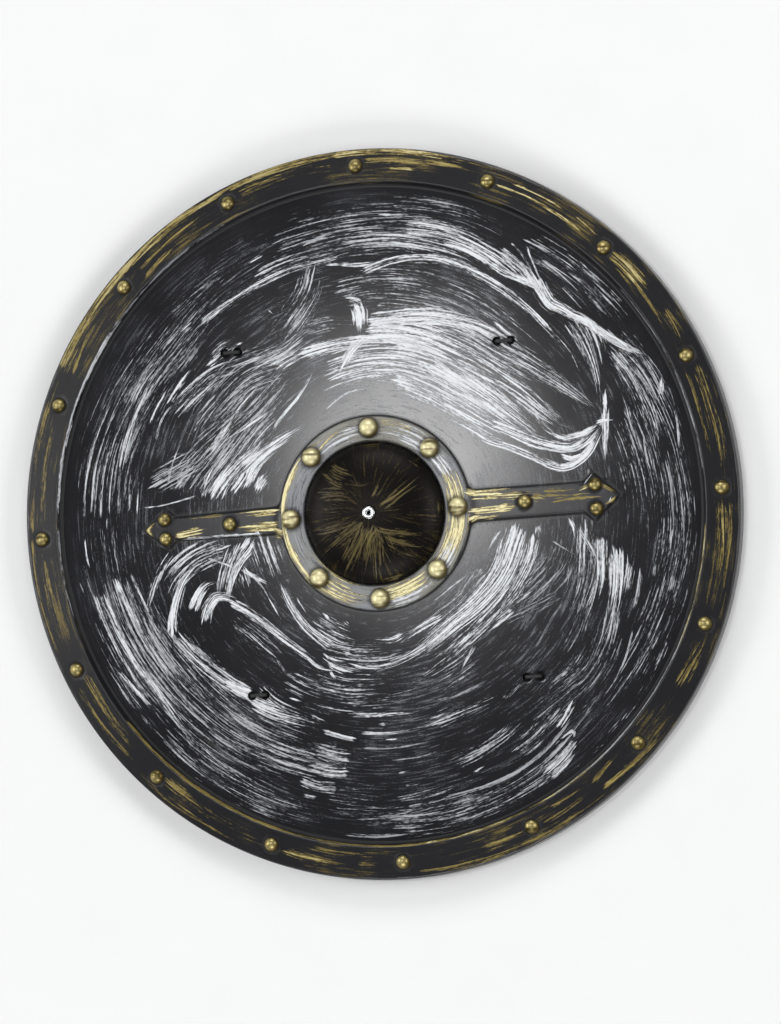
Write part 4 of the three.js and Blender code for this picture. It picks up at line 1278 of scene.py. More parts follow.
# Node helpers


def socket_group(name, inputs, outputs):
    """A shader node group with named inputs and outputs, and its input and output nodes."""
    tree = bpy.data.node_groups.new(name, "ShaderNodeTree")
    for label, kind, default in inputs:
        socket = tree.interface.new_socket(name=label, in_out="INPUT", socket_type=kind)
        if default is not None:
            socket.default_value = default
    for label, kind in outputs:
        tree.interface.new_socket(name=label, in_out="OUTPUT", socket_type=kind)
    return tree, tree.nodes.new("NodeGroupInput"), tree.nodes.new("NodeGroupOutput")


def feed(tree, socket, value):
    if isinstance(value, bpy.types.NodeSocket):
        tree.links.new(value, socket)
    elif value is not None:
        socket.default_value = value


def calc(tree, operation, *values, clamp=False):
    node = tree.nodes.new("ShaderNodeMath")
    node.operation = operation
    node.use_clamp = clamp
    for socket, value in zip(node.inputs, values):
        feed(tree, socket, value)
    return node.outputs[0]


def plus(tree, first, second):
    return calc(tree, "ADD", first, second)


def minus(tree, first, second):
    return calc(tree, "SUBTRACT", first, second)


def times(tree, first, second, clamp=False):
    return calc(tree, "MULTIPLY", first, second, clamp=clamp)


def divided(tree, first, second):
    return calc(tree, "DIVIDE", first, second)


def scaled(tree, value, factor, shift):
    return calc(tree, "MULTIPLY_ADD", value, factor, shift)


def larger(tree, first, second):
    return calc(tree, "MAXIMUM", first, second)


def ramp(tree, value, low, high, new_low=0.0, new_high=1.0, smooth=False):
    node = tree.nodes.new("ShaderNodeMapRange")
    node.interpolation_type = "SMOOTHSTEP" if smooth else "LINEAR"
    for socket, given in zip(node.inputs, (value, low, high, new_low, new_high)):
        feed(tree, socket, given)
    return node.outputs[0]


def blended(tree, share, first, second):
    node = tree.nodes.new("ShaderNodeMix")
    node.data_type = "RGBA"
    feed(tree, node.inputs["Factor"], share)
    feed(tree, node.inputs[6], first)
    feed(tree, node.inputs[7], second)
    return node.outputs[2]


def between(tree, share, first, second):
    node = tree.nodes.new("ShaderNodeMix")
    feed(tree, node.inputs["Factor"], share)
    feed(tree, node.inputs[2], first)
    feed(tree, node.inputs[3], second)
    return node.outputs[0]


def packed(tree, x, y, z=0.0):
    node = tree.nodes.new("ShaderNodeCombineXYZ")
    for socket, value in zip(node.inputs, (x, y, z)):
        feed(tree, socket, value)
    return node.outputs[0]


def parts(tree, vector):
    node = tree.nodes.new("ShaderNodeSeparateXYZ")
    feed(tree, node.inputs[0], vector)
    return node.outputs


def noise(tree, vector, scale=1.0, detail=2.0, roughness=0.5, flat=False):
    node = tree.nodes.new("ShaderNodeTexNoise")
    node.noise_dimensions = "2D" if flat else "3D"
    feed(tree, node.inputs["Vector"], vector)
    feed(tree, node.inputs["Scale"], scale)
    feed(tree, node.inputs["Detail"], detail)
    feed(tree, node.inputs["Roughness"], roughness)
    return node.outputs["Fac"]


def stored(tree, name):
    node = tree.nodes.new("ShaderNodeAttribute")
    node.attribute_name = name
    return node


def in_millimetres(tree):
    """The place on the object, in millimetres."""
    place = tree.nodes.new("ShaderNodeTexCoord")
    node = tree.nodes.new("ShaderNodeVectorMath")
    node.operation = "SCALE"
    feed(tree, node.inputs[0], place.outputs["Object"])
    feed(tree, node.inputs["Scale"], 1 / MM)
    return node.outputs[0]


def placed_group(tree, group, **values):
    node = tree.nodes.new("ShaderNodeGroup")
    node.node_tree = group
    for label, value in values.items():
        feed(tree, node.inputs[label.replace("_", " ")], value)
    return node.outputs


def new_material(name):
    material = bpy.data.materials.new(name)
    material.use_nodes = True
    tree = material.node_tree
    return material, tree, tree.nodes["Principled BSDF"]


def bumped(tree, shader, height, strength, depth):
    node = tree.nodes.new("ShaderNodeBump")
    feed(tree, node.inputs["Strength"], strength)
    feed(tree, node.inputs["Distance"], depth)
    feed(tree, node.inputs["Height"], height)
    tree.links.new(node.outputs[0], shader.inputs["Normal"])


def rgba(colour, brightness=(1, 1, 1)):
    return (*(c * share for c, share in zip(colour, brightness)), 1.0)


# Effects


SWEEP_SHIFT = 17.31


def brush_group():
    """One layer of dragged paint: bristle lines that start and end raggedly."""
    colour = "NodeSocketColor"
    number = "NodeSocketFloat"
    tree, given, result = socket_group(
        "Brush Strokes",
        [
            ("Stroke", "NodeSocketVector", None), ("Finish", "NodeSocketVector", None),
            ("Bristle Width", number, 1.5), ("Bristle Length", number, 40.0), ("Silver", colour, None),
            ("Thin Silver", colour, None), ("Pale Gold", colour, None), ("Gold", colour, None),
            ("Thin Gold", colour, None),
        ],
        [("Cover", number), ("Colour", colour)],
    )
    link = given.outputs
    along, across, to_end = parts(tree, link["Stroke"])
    cover, code, half = parts(tree, link["Finish"])
    seed = calc(tree, "FLOOR", times(tree, code, 0.5))
    is_gold = calc(tree, "GREATER_THAN", calc(tree, "MODULO", code, 2.0), 1.0)
    body = calc(tree, "FRACT", code)

    # Each sweep reads its own part of the noise: fine bristle lines, short beads on them, broad clumps
    shift = times(tree, seed, SWEEP_SHIFT)
    lines = packed(
        tree, plus(tree, divided(tree, along, link["Bristle Length"]), shift),
        divided(tree, across, link["Bristle Width"]),
    )
    bristle = noise(tree, lines, detail=3.0, roughness=0.72, flat=True)
    beading = packed(tree, scaled(tree, along, 0.3, shift), times(tree, across, 1.15))
    beads = noise(tree, beading, detail=1.0, roughness=0.6, flat=True)
    clumps = packed(tree, scaled(tree, along, 0.012, shift), times(tree, across, 0.5))
    clump = minus(tree, noise(tree, clumps, detail=1.0, roughness=0.7, flat=True), 0.5)

    # The clumps make start, end and sides of the stroke ragged
    ragged = scaled(tree, half, 1.3, 2.0)
    start = ramp(tree, scaled(tree, clump, ragged, along), 0.0, 3.5)
    end = ramp(tree, scaled(tree, clump, 1.9, to_end), 0.0, 1.0)
    taper = calc(tree, "MINIMUM", ramp(tree, along, -2.0, plus(tree, half, 3.0), 0.5, 1.0),
                 ramp(tree, to_end, -0.2, 1.0, 0.3, 1.0))
    edge = divided(tree, calc(tree, "ABSOLUTE", across), times(tree, half, taper))
    edge = ramp(tree, scaled(tree, clump, 0.7, edge), 1.15, 0.5)
    dense = times(tree, times(tree, cover, start), times(tree, end, edge))

    # A line marks where it stands above what the cover leaves bare
    lively = ramp(tree, bristle, 0.29, 0.71, -0.1, 1.1)
    lively = plus(tree, lively, scaled(tree, beads, 0.65, -0.325))
    above = minus(tree, lively, scaled(tree, dense, -0.86, 1.06))
    marked = ramp(tree, above, -0.16, 0.28, smooth=True)
    marked = times(tree, marked, ramp(tree, dense, 0.02, 0.12))
    tree.links.new(marked, result.inputs["Cover"])

    # Thin marks show the darker paint, thick ones the brighter
    tone = times(tree, body, ramp(tree, above, -0.05, 0.5, 0.3, 1.2), clamp=True)
    silver_tone = blended(tree, tone, link["Thin Silver"], link["Silver"])
    gold_tone = blended(tree, ramp(tree, tone, 0.0, 0.6), link["Thin Gold"], link["Gold"])
    gold_tone = blended(tree, ramp(tree, tone, 0.6, 0.95), gold_tone, link["Pale Gold"])
    tree.links.new(blended(tree, is_gold, silver_tone, gold_tone), result.inputs["Colour"])
    return tree


def haze_group():
    """Faint streaks left all round by the brush: along circles, or along spokes where Spokes is 1."""
    number = "NodeSocketFloat"
    tree, given, result = socket_group(
        "Paint Haze",
        [
            ("Place", "NodeSocketVector", None), ("Grain", number, 0.5), ("Cover", number, 0.3),
            ("Spokes", number, 0.0), ("Line Width", number, 1.5), ("Turns", number, 4.2),
        ],
        [("Cover", number), ("Radius", number)],
    )
    link = given.outputs
    x, y, _ = parts(tree, link["Place"])
    square = plus(tree, times(tree, x, x), times(tree, y, y))
    radius = larger(tree, calc(tree, "SQRT", square), 1.0)
    turns = between(tree, link["Spokes"], link["Turns"], times(tree, link["Turns"], 3.0))
    width = between(tree, link["Spokes"], link["Line Width"], times(tree, link["Line Width"], 14.0))
    spoke = divided(tree, turns, radius)
    streaks = packed(tree, times(tree, x, spoke), times(tree, y, spoke), divided(tree, radius, width))
    streak = ramp(tree, noise(tree, streaks, detail=3.0, roughness=0.7), 0.28, 0.72)
    streak = plus(tree, streak, times(tree, minus(tree, link["Grain"], 0.5), 0.45))
    above = minus(tree, streak, minus(tree, 1.04, link["Cover"]))
    tree.links.new(ramp(tree, above, -0.1, 0.4, smooth=True), result.inputs["Cover"])
    tree.links.new(radius, result.inputs["Radius"])
    return tree


def grain_group():
    """Fine unevenness of a moulded or woven surface."""
    number = "NodeSocketFloat"
    tree, given, result = socket_group(
        "Surface Grain",
        [("Place", "NodeSocketVector", None), ("Size", number, 0.6), ("Patch Size", number, 40.0)],
        [("Grain", number), ("Patches", number)],
    )
    place = given.outputs["Place"]
    fine = noise(tree, place, divided(tree, 1.0, given.outputs["Size"]), 2.0, 0.6)
    broad = noise(tree, place, divided(tree, 1.0, given.outputs["Patch Size"]), 3.0, 0.55)
    tree.links.new(ramp(tree, fine, 0.25, 0.75), result.inputs["Grain"])
    tree.links.new(broad, result.inputs["Patches"])
    return tree


# Brightness of the plastic's tones beside its own colour, the darkest being the painted shade in crevices

PLASTIC_LIGHTER = (1.5, 1.5, 1.5)
PLASTIC_WARM = (0.75, 0.6, 0.4)
PLASTIC_CREVICE_SHADE = (0.35, 0.35, 0.35)

# Depth of the grain, radii where the haze is faint and full in millimetres, and stripes on the gilt heads

PLASTIC_GRAIN = 0.0008
HAZE_FADE = (222.0, 206.0)
STRIPE_TURN = (0, 0, 0.6)
STRIPE_SCALE = (0.05, 0.3, 0.05)


def plastic_material(colours, brush, haze, grain):
    """Black plastic under the all-round haze, the layers of strokes, the gilded heads with their painted
    light and shade, and the painted shade at the forms' feet.
    """
    material, tree, shader = new_material("Brushed black plastic")
    place = in_millimetres(tree)
    rough = placed_group(tree, grain, Place=place, Size=0.7, Patch_Size=45.0)
    fine, patches = rough["Grain"], rough["Patches"]
    gilt_and_shade, ring, boss = parts(tree, stored(tree, "coats_and_shade").outputs["Vector"])
    crevice_bare_and_shade, rim, bar = parts(tree, stored(tree, "places").outputs["Vector"])

    lighter = rgba(colours.plastic, PLASTIC_LIGHTER)
    colour = blended(tree, ramp(tree, patches, 0.35, 0.7), rgba(colours.plastic), lighter)
    colour = blended(tree, boss, colour, rgba(colours.plastic, PLASTIC_WARM))

    silver_haze = between(tree, ring, ramp(tree, patches, 0.35, 0.65, 0.15, 0.5), 0.9)
    gold_haze = between(
        tree, rim, ramp(tree, patches, 0.35, 0.65, 0.18, 0.44), ramp(tree, patches, 0.4, 0.6, 0.12, 0.5)
    )
    on_gold = larger(tree, rim, boss)
    hazed = placed_group(
        tree, haze, Place=place, Grain=fine, Spokes=boss, Turns=between(tree, ring, 7.0, 3.0),
        Cover=between(tree, on_gold, silver_haze, gold_haze),
    )
    faint = times(tree, hazed["Cover"], ramp(tree, bar, 0.0, 1.0, 1.0, 0.15))
    inner = ramp(tree, hazed["Radius"], *HAZE_FADE, 0.1, 1.0)
    inner = times(tree, larger(tree, inner, rim), ramp(tree, gilt_and_shade, -0.9, -0.1))
    faint = times(tree, faint, inner)
    creamy = blended(tree, ramp(tree, patches, 0.4, 0.6), rgba(colours.silver), rgba(colours.pale_gold))
    streaked = blended(tree, times(tree, ring, 0.14), rgba(colours.pewter), creamy)
    golden = blended(tree, times(tree, rim, 0.35), rgba(colours.bronze), rgba(colours.gold))
    colour = blended(tree, faint, colour, blended(tree, on_gold, streaked, golden))

    painted = times(tree, faint, 0.5)
    sheer = ramp(tree, boss, 0.0, 1.0, 1.0, 0.6)
    for layer in range(LAYERS):
        layer_out = placed_group(
            tree, brush, Stroke=stored(tree, f"stroke_{layer}").outputs["Vector"],
            Finish=stored(tree, f"finish_{layer}").outputs["Vector"],
            Silver=rgba(colours.silver), Thin_Silver=rgba(colours.pewter),
            Pale_Gold=rgba(colours.pale_gold), Gold=rgba(colours.gold), Thin_Gold=rgba(colours.bronze),
        )
        colour = blended(tree, times(tree, layer_out["Cover"], sheer), colour, layer_out["Colour"])
        painted = larger(tree, painted, layer_out["Cover"])

    slant = tree.nodes.new("ShaderNodeMapping")
    slant.inputs["Rotation"].default_value = STRIPE_TURN
    slant.inputs["Scale"].default_value = STRIPE_SCALE
    tree.links.new(place, slant.inputs["Vector"])
    stripes = ramp(tree, noise(tree, slant.outputs[0], 1.0, 1.0, 0.5), 0.3, 0.5)
    plain = times(tree, larger(tree, rim, bar), 0.8)
    bright = blended(tree, plain, rgba(colours.pale_gold), rgba(colours.gold))
    # The heads' painted light and shade: their stripes show fully at the painted lit spot and fade towards
    # the edge
    striped = times(tree, stripes, ramp(tree, gilt_and_shade, 0.5, 0.9))
    bright = blended(tree, striped, rgba(colours.bronze), bright)
    gilded = ramp(tree, gilt_and_shade, 0.0, 0.4)
    colour = blended(tree, gilded, colour, bright)
    # Painted shade: crevices at the forms' feet turn darker than the bare plastic
    colour = blended(tree, times(tree, crevice_bare_and_shade, 0.95), colour, rgba(colours.plastic, PLASTIC_CREVICE_SHADE))
    tree.links.new(colour, shader.inputs["Base Color"])

    bare = ramp(tree, patches, 0.3, 0.7, 0.155, 0.185)
    bare = between(tree, ring, bare, 0.34)
    bare = between(tree, larger(tree, rim, bar), bare, 0.3)
    bare = between(tree, boss, bare, 0.45)
    bare = between(tree, crevice_bare_and_shade, bare, 0.7)
    bare = between(tree, painted, bare, 0.45)
    tree.links.new(between(tree, gilded, bare, 0.38), shader.inputs["Roughness"])
    metal = between(tree, painted, times(tree, boss, 0.8), 0.15)
    metal = between(tree, gilded, metal, ramp(tree, plain, 0.0, 0.8, 0.3, 0.75))
    tree.links.new(metal, shader.inputs["Metallic"])
    bumped(tree, shader, fine, 1.0, PLASTIC_GRAIN * MM)
    return material


def grained_material(name, grain, size, patch_size, bump, depth):
    """A material with grain as its bump, in millimetres, and the outputs of its grain."""
    material, tree, shader = new_material(name)
    rough = placed_group(tree, grain, Place=in_millimetres(tree), Size=size, Patch_Size=patch_size)
    bumped(tree, shader, rough["Grain"], bump, depth * MM)
    return material, tree, shader, rough["Grain"], rough["Patches"]


def webbing_material(colours, grain):
    material, tree, shader, fine, patches = grained_material("Black webbing", grain, 0.35, 14.0, 0.7, 0.15)
    bright = rgba(colours.webbing, (3.2, 3.2, 3.2))
    fibre = blended(tree, times(tree, fine, patches), rgba(colours.webbing), bright)
    tree.links.new(fibre, shader.inputs["Base Color"])
    tree.links.new(ramp(tree, fine, 0, 1, 0.78, 0.95), shader.inputs["Roughness"])
    return material


def cord_material(colours, grain):
    material, tree, shader, fine, patches = grained_material("Black cord", grain, 0.25, 6.0, 0.5, 0.1)
    bright = rgba(colours.cord, (2.6, 2.6, 2.6))
    tree.links.new(blended(tree, fine, rgba(colours.cord), bright), shader.inputs["Base Color"])
    tree.links.new(ramp(tree, patches, 0.3, 0.7, 0.5, 0.75), shader.inputs["Roughness"])
    return material


def nickel_material(colours, grain):
    material, tree, shader, _, patches = grained_material("Nickel plate", grain, 0.3, 2.2, 0.25, 0.04)
    dull = rgba(colours.nickel, (0.55, 0.55, 0.55))
    worn = blended(tree, ramp(tree, patches, 0.45, 0.68), rgba(colours.nickel), dull)
    tree.links.new(worn, shader.inputs["Base Color"])
    tree.links.new(ramp(tree, patches, 0.3, 0.7, 0.16, 0.38), shader.inputs["Roughness"])
    shader.inputs["Metallic"].default_value = 1.0
    return material


# Pieces


def finished(piece, slot, *nodes):
    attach(piece, "root")
    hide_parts(*nodes)


def effect(name, make):
    """A shared node group, made at its first use."""
    return bpy.data.node_groups.get(name) or make()


def store(mesh, name, values, rest=(0, 0, 0)):
    """Stores a vector for each of the mesh's first points, and the same one for all the others."""
    attribute = mesh.attributes.new(name, "FLOAT_VECTOR", "POINT")
    others = np.tile(rest, (len(mesh.vertices) - len(values), 1))
    attribute.data.foreach_set("vector", np.vstack((values, others)).astype(np.float32).ravel())


BACK_COATS = (-1, 0, 0)


class BUCKLER_OT_moulding(bpy.types.Operator):
    """Build the moulded shell and brush its paint on"""

    bl_idname = "buckler.moulding"
    bl_label = "Moulded shell"

    def execute(self, context):
        size = context.scene.buckler_moulding
        colours = context.scene.buckler_colours
        corners, faces, flat = moulding_mesh(size)
        material = plastic_material(
            colours, effect("Brush Strokes", brush_group), effect("Paint Haze", haze_group),
            effect("Surface Grain", grain_group),
        )
        piece = mesh_object("moulding", corners, faces, material)
        strokes, finishes = brush_layers(PAINT_AND_HIGHLIGHT_SWEEPS, flat / MM)
        coats_and_shade, places = surface_masks(size, flat)
        store(piece.data, "coats_and_shade", coats_and_shade, BACK_COATS)
        store(piece.data, "places", places)
        for layer in range(LAYERS):
            store(piece.data, f"stroke_{layer}", strokes[layer], NO_STROKE)
            store(piece.data, f"finish_{layer}", finishes[layer])
        finished(piece, "moulded_plastic", "shield_shell")
        return {"FINISHED"}


RIVET_SIDES = 64

# Sizes of the boss rivet in millimetres. Its lip is rolled over the boss, its hem behind the wall.

FLANGE_HEIGHT = 0.9
BARREL_RADIUS = 2.2
LIP_ROLL = 0.55
LIP_EDGE = 0.12
HEM_BELOW = 0.7
HEM_RADIUS = 2.5
HEM_WIDTH = 0.8


def rivet_profile(size, straps):
    """The rivet's closed outline, as (radius, height)."""
    crown = boss_base(size) + boss_full_rise(size)
    seat = crown + straps.clearance
    back = crown - size.wall - straps.clearance
    roll = LIP_ROLL * MM
    top = seat + FLANGE_HEIGHT * MM
    flange, bore, barrel = straps.rivet_radius, straps.rivet_bore, BARREL_RADIUS * MM
    middle, half = (bore + flange) / 2, (flange - bore) / 2
    profile = [(bore, back - HEM_BELOW * MM), (bore, top - roll)]
    for turn in np.radians(np.arange(180, -1, -18)):
        profile.append((middle + half * math.cos(turn), top - roll + roll * math.sin(turn) ** 0.8))
    profile += [(flange - LIP_EDGE * MM, seat), (barrel, seat), (barrel, back)]
    for turn in np.radians(np.arange(60, -121, -20)):
        radius = HEM_RADIUS * MM + HEM_WIDTH * MM * math.cos(turn)
        profile.append((radius, back - roll + roll * math.sin(turn)))
    return profile


class BUCKLER_OT_boss_rivet(bpy.types.Operator):
    """Build the tubular rivet through the boss"""

    bl_idname = "buckler.boss_rivet"
    bl_label = "Boss rivet"

    def execute(self, context):
        scene = context.scene
        profile = rivet_profile(scene.buckler_moulding, scene.buckler_straps)
        rows = [level_circle(radius, height, RIVET_SIDES) for radius, height in profile]
        corners, faces = lofted(rows, RIVET_SIDES, closed=True)
        material = nickel_material(scene.buckler_colours, effect("Surface Grain", grain_group))
        piece = mesh_object("boss_rivet_plated", corners, faces, material)
        finished(piece, "rivet_nickel", "boss_rivet")
        return {"FINISHED"}


# Sizes of the straps in millimetres, and shares of their half width

STRAP_FLAT_END = 14.0
STRAP_BEYOND = 11.0
STRAP_STEP = 0.45
STRAP_ACROSS = 26
EDGE_SHARE = 0.07
EDGE_FROM = 0.93
WEAVE_PITCH = 1.9
WEAVE_DEPTH = 0.14
CHEVRON_SHIFT = 2.2


def strap_top(size, straps, x, y):
    """Height of the strap's upper side where it touches the field's back with its outer edge."""
    reach = np.hypot(np.abs(x) + straps.width / 2, y)
    return field_height(size, reach) - size.wall - straps.clearance


def strap_mesh(size, straps, side):
    """A woven ribbon that follows the field's back at its ends and hangs between them."""
    upper = np.array(HOLE_PAIRS[f"upper_{side}"]) * MM
    lower = np.array(HOLE_PAIRS[f"lower_{side}"]) * MM
    middle = (upper + lower) / 2
    half = np.hypot(*(upper - lower)) / 2
    along = (upper - lower) / (2 * half)
    across = np.array((-along[1], along[0]))
    reach = half + STRAP_BEYOND * MM
    hung = half - STRAP_FLAT_END * MM
    count = round(2 * reach / (STRAP_STEP * MM))
    stops = np.linspace(-reach, reach, count)
    place = middle + stops[:, None] * along
    slack = straps.sag * np.maximum(0, 1 - (stops / hung) ** 2) ** 2
    top = strap_top(size, straps, place[:, 0], place[:, 1]) - slack

    lift = np.gradient(top, stops)
    slope = np.sqrt(1 + lift ** 2)
    turn = np.linspace(0, 1, STRAP_ACROSS)
    shares = np.concatenate((np.cos(math.pi * turn), np.cos(math.pi * (1 + turn))[1:-1]))
    is_top = np.concatenate((np.ones(STRAP_ACROSS, bool), np.zeros(STRAP_ACROSS - 2, bool)))
    edge = np.sqrt(1 - np.clip((np.abs(shares) - EDGE_FROM) / EDGE_SHARE, 0, 1) ** 2)
    chevron = np.abs(((shares + 1) * 2) % 2 - 1) * CHEVRON_SHIFT
    rows = []
    for stop, spot, high, steep, tall in zip(stops, place, top, lift, slope):
        rib = WEAVE_DEPTH * MM * (0.5 + 0.5 * np.cos(FULL_TURN * (stop / MM / WEAVE_PITCH + chevron)))
        thick = straps.thick / 2 * edge
        centre = high - straps.thick / 2
        upward = np.where(is_top, thick - rib * edge, -thick + rib * edge)
        flat = spot + (shares[:, None] * straps.width / 2) * across
        flat = flat - (upward * steep / tall)[:, None] * along
        rows.append(np.column_stack((flat, centre + upward / tall)))
    corners, faces = lofted(rows, len(shares))
    last = len(corners) - len(shares)
    faces += [list(range(len(shares))), list(range(last, len(corners)))]
    return corners, faces


class BUCKLER_OT_straps(bpy.types.Operator):
    """Build the two webbing straps behind the shield"""

    bl_idname = "buckler.straps"
    bl_label = "Webbing straps"

    def execute(self, context):
        scene = context.scene
        material = webbing_material(scene.buckler_colours, effect("Surface Grain", grain_group))
        for side in ("left", "right"):
            corners, faces = strap_mesh(scene.buckler_moulding, scene.buckler_straps, side)
            piece = mesh_object(f"webbing_{side}", corners, faces, material)
            finished(piece, "webbing", f"strap_{side}")
        return {"FINISHED"}


# Sizes of the cord ties in millimetres, and the braid's relief as a share of the cord's radius

TIE_CORNER = 1.9
CORD_SIDES = 20
CORD_STEP = 0.16
BRAID_STRANDS = 4
BRAID_PITCH = 2.6
BRAID_RELIEF = 0.13


def tie_mesh(size, straps, x, y):
    """A braided cord stitch: a rounded oblong loop through the two holes."""
    cord = straps.cord_radius
    high = field_height(size, math.hypot(x, y)) + straps.clearance + cord
    low = strap_top(size, straps, x, y) - straps.thick - straps.clearance - cord
    corner = TIE_CORNER * MM
    half_wide = HOLE_SPACING / 2 * MM
    half_tall = (high - low) / 2
    middle = (high + low) / 2
    line = []
    for sign_x, sign_z, start in ((1, 1, 0), (-1, 1, 90), (-1, -1, 180), (1, -1, 270)):
        for turn in np.radians(start + np.arange(0, 91, 9)):
            line.append((
                sign_x * (half_wide - corner) + corner * math.cos(turn),
                sign_z * (half_tall - corner) + corner * math.sin(turn),
            ))
    line = np.array(line + line[:1])
    gone = distance_along(line)
    count = round(gone[-1] / (CORD_STEP * MM))
    stops = np.arange(count) * gone[-1] / count
    centre = places_at(stops, gone, line)
    ahead = np.roll(centre, -1, axis=0) - np.roll(centre, 1, axis=0)
    ahead /= np.hypot(*ahead.T)[:, None]
    outward = np.column_stack((ahead[:, 1], -ahead[:, 0]))
    angle = np.arange(CORD_SIDES) * FULL_TURN / CORD_SIDES
    turns = round(gone[-1] / (BRAID_PITCH * MM)) * FULL_TURN / gone[-1]
    rows = []
    for stop, spot, out in zip(stops, centre, outward):
        first = np.cos(BRAID_STRANDS * angle + stop * turns)
        second = np.cos(BRAID_STRANDS * angle - stop * turns)
        radius = cord * (1 - BRAID_RELIEF + BRAID_RELIEF * np.maximum(first, second))
        side = radius * np.cos(angle)
        rows.append(np.column_stack((
            x + spot[0] + side * out[0], y + radius * np.sin(angle), middle + spot[1] + side * out[1],
        )))
    return lofted(rows, CORD_SIDES, closed=True)


class BUCKLER_OT_ties(bpy.types.Operator):
    """Build the four cord ties that hold the strap ends"""

    bl_idname = "buckler.ties"
    bl_label = "Cord ties"

    def execute(self, context):
        scene = context.scene
        material = cord_material(scene.buckler_colours, effect("Surface Grain", grain_group))
        for name, (x, y) in HOLE_PAIRS.items():
            corners, faces = tie_mesh(scene.buckler_moulding, scene.buckler_straps, x * MM, y * MM)
            piece = mesh_object(f"cord_{name}", corners, faces, material)
            finished(piece, "tie_cord", f"tie_{name}")
        return {"FINISHED"}


# Stage


SENSOR = 36.0
VIEW_DEPTH = 50

# The picture in pixels: its size, the pixels to a millimetre, and where the shield's middle is

PICTURE = (781, 1024)
PICTURE_SCALE = 1.462
SHIELD_AT = (384.1, 514.1)

# Floor and lights in metres

FLOOR_REACH = 9.0
FLOOR_DROP = 0.0005
FLOOR_SHADES = ((0.9, 0.9, 0.9, 1), (0.93, 0.93, 0.93, 1))
LIT_PLACE = (0, 0, 0.02)
KEY_PLACE = (-2.22, 1.01, 11.75)
KEY_WIDTH = 2.6
SIDE_SIZE = (2.4, 1.2)
SIDE_PLACES = {
    "side_left": (-3.2, 0.3, 1.9),
    "side_right": (3.2, 0.2, 1.9),
    "side_upper": (0.2, 3.2, 1.9),
    "side_lower": (0.0, -3.2, 1.9),
}
ROOM_COLOUR = (0.95, 0.97, 1.0, 1)
ROOM_STRENGTH = 0.15


def soft_light(name, place, width, height, radiance, shape="RECTANGLE"):
    """An area light turned to the shield, its energy worked out from its radiance."""
    data = bpy.data.lights.new(name, "AREA")
    data.shape = shape
    data.size, data.size_y = width, height
    area = width * height * (math.pi / 4 if shape == "ELLIPSE" else 1)
    data.energy = radiance * math.pi * area
    lamp = bpy.data.objects.new(name, data)
    lamp.location = place
    lamp.rotation_euler = (Vector(LIT_PLACE) - Vector(place)).to_track_quat("-Z", "Y").to_euler()
    bpy.context.scene.collection.objects.link(lamp)


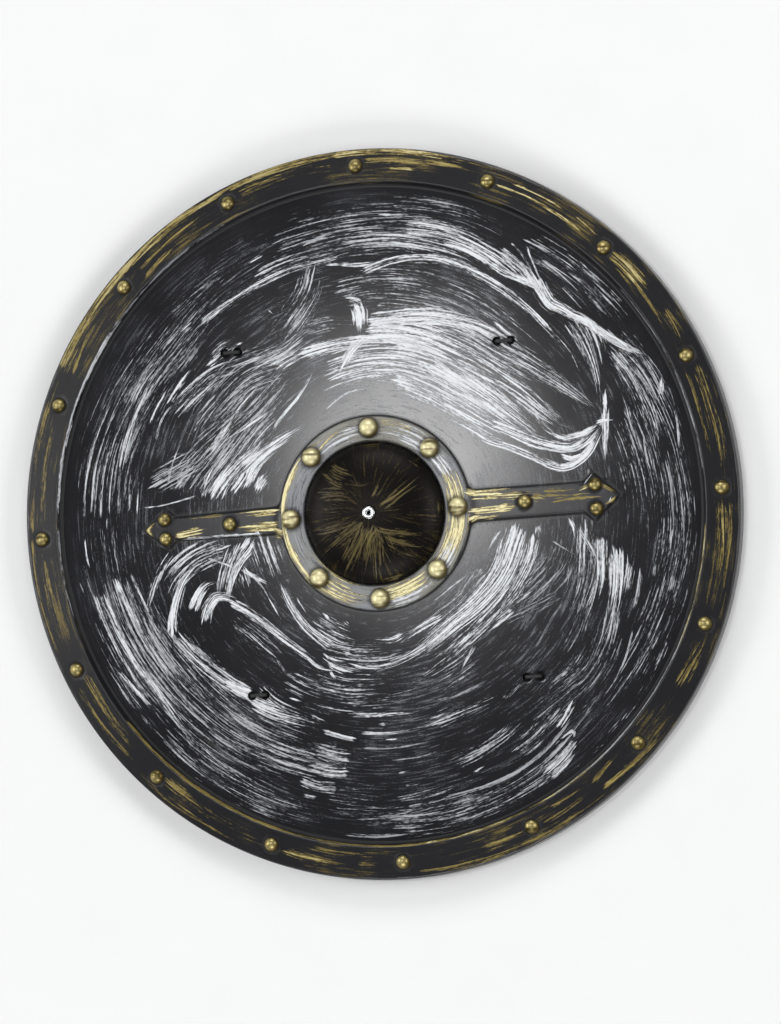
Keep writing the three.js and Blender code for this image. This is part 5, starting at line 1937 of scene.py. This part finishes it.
class BUCKLER_OT_stage(bpy.types.Operator):
    """Set the camera, the pale floor and the soft lights"""

    bl_idname = "buckler.stage"
    bl_label = "Camera, floor and lights"

    def execute(self, context):
        scene = context.scene
        stage = scene.buckler_stage
        turned = (
            Matrix.Rotation(stage.side_tilt, 3, "Y") @ Matrix.Rotation(stage.fore_tilt, 3, "X")
            @ Matrix.Rotation(stage.turn, 3, "Z")
        )
        from_picture = turned.transposed()
        data = bpy.data.cameras.new("camera")
        data.sensor_width = SENSOR
        data.lens = SENSOR * PICTURE_SCALE * stage.distance / MM / PICTURE[1]
        data.clip_end = VIEW_DEPTH
        aside = (
            (PICTURE[0] / 2 - SHIELD_AT[0]) / PICTURE_SCALE * MM,
            (SHIELD_AT[1] - PICTURE[1] / 2) / PICTURE_SCALE * MM,
        )
        camera = bpy.data.objects.new("camera", data)
        place = from_picture @ Vector((*aside, stage.distance))
        camera.matrix_world = Matrix.Translation(place) @ from_picture.to_4x4()
        scene.collection.objects.link(camera)
        scene.camera = camera

        floor = bpy.data.meshes.new("floor")
        turns = ((-1, -1), (1, -1), (1, 1), (-1, 1))
        floor.from_pydata([(FLOOR_REACH * x, FLOOR_REACH * y, 0) for x, y in turns], [], [(0, 1, 2, 3)])
        material, tree, shader = new_material("Pale floor")
        speckle = noise(tree, in_millimetres(tree), 0.02, 3.0)
        tree.links.new(blended(tree, speckle, *FLOOR_SHADES), shader.inputs["Base Color"])
        shader.inputs["Roughness"].default_value = 0.9
        shader.inputs["Specular IOR Level"].default_value = 0.1
        floor.materials.append(material)
        ground = bpy.data.objects.new("floor", floor)
        ground.location.z = -FLOOR_DROP
        scene.collection.objects.link(ground)

        soft_light("key_softbox", KEY_PLACE, KEY_WIDTH, KEY_WIDTH, stage.key_strength, "ELLIPSE")
        for name, place in SIDE_PLACES.items():
            soft_light(name, place, *SIDE_SIZE, stage.rim_strength)

        world = bpy.data.worlds.new("pale_room")
        world.use_nodes = True
        background = world.node_tree.nodes["Background"]
        background.inputs["Color"].default_value = ROOM_COLOUR
        background.inputs["Strength"].default_value = ROOM_STRENGTH
        scene.world = world
        scene.view_settings.view_transform = "Standard"
        return {"FINISHED"}


class BUCKLER_PT_panel(bpy.types.Panel):
    """Sizes, colours and steps of the buckler shield"""

    bl_label = "Buckler Shield"
    bl_idname = "BUCKLER_PT_panel"
    bl_space_type = "VIEW_3D"
    bl_region_type = "UI"
    bl_category = "Buckler"

    def draw(self, context):
        for settings in ("moulding", "straps", "colours", "stage"):
            group = getattr(context.scene, f"buckler_{settings}")
            box = self.layout.box()
            box.label(text=settings.capitalize())
            for name in group.__annotations__:
                box.prop(group, name)
        for operator in OPERATORS:
            self.layout.operator(operator.bl_idname)


SETTINGS = (
    ("buckler_moulding", BucklerMoulding), ("buckler_straps", BucklerStraps),
    ("buckler_colours", BucklerColours), ("buckler_stage", BucklerStage),
)
OPERATORS = (
    BUCKLER_OT_moulding, BUCKLER_OT_boss_rivet, BUCKLER_OT_straps, BUCKLER_OT_ties, BUCKLER_OT_stage,
)


def register():
    for name, settings in SETTINGS:
        bpy.utils.register_class(settings)
        setattr(bpy.types.Scene, name, PointerProperty(type=settings))
    for operator in OPERATORS:
        bpy.utils.register_class(operator)
    bpy.utils.register_class(BUCKLER_PT_panel)


def unregister():
    bpy.utils.unregister_class(BUCKLER_PT_panel)
    for operator in reversed(OPERATORS):
        bpy.utils.unregister_class(operator)
    for name, settings in reversed(SETTINGS):
        delattr(bpy.types.Scene, name)
        bpy.utils.unregister_class(settings)


def main():
    register()
    bpy.ops.buckler.moulding()
    bpy.ops.buckler.boss_rivet()
    bpy.ops.buckler.straps()
    bpy.ops.buckler.ties()
    bpy.ops.buckler.stage()


if __name__ == "__main__":
    main()
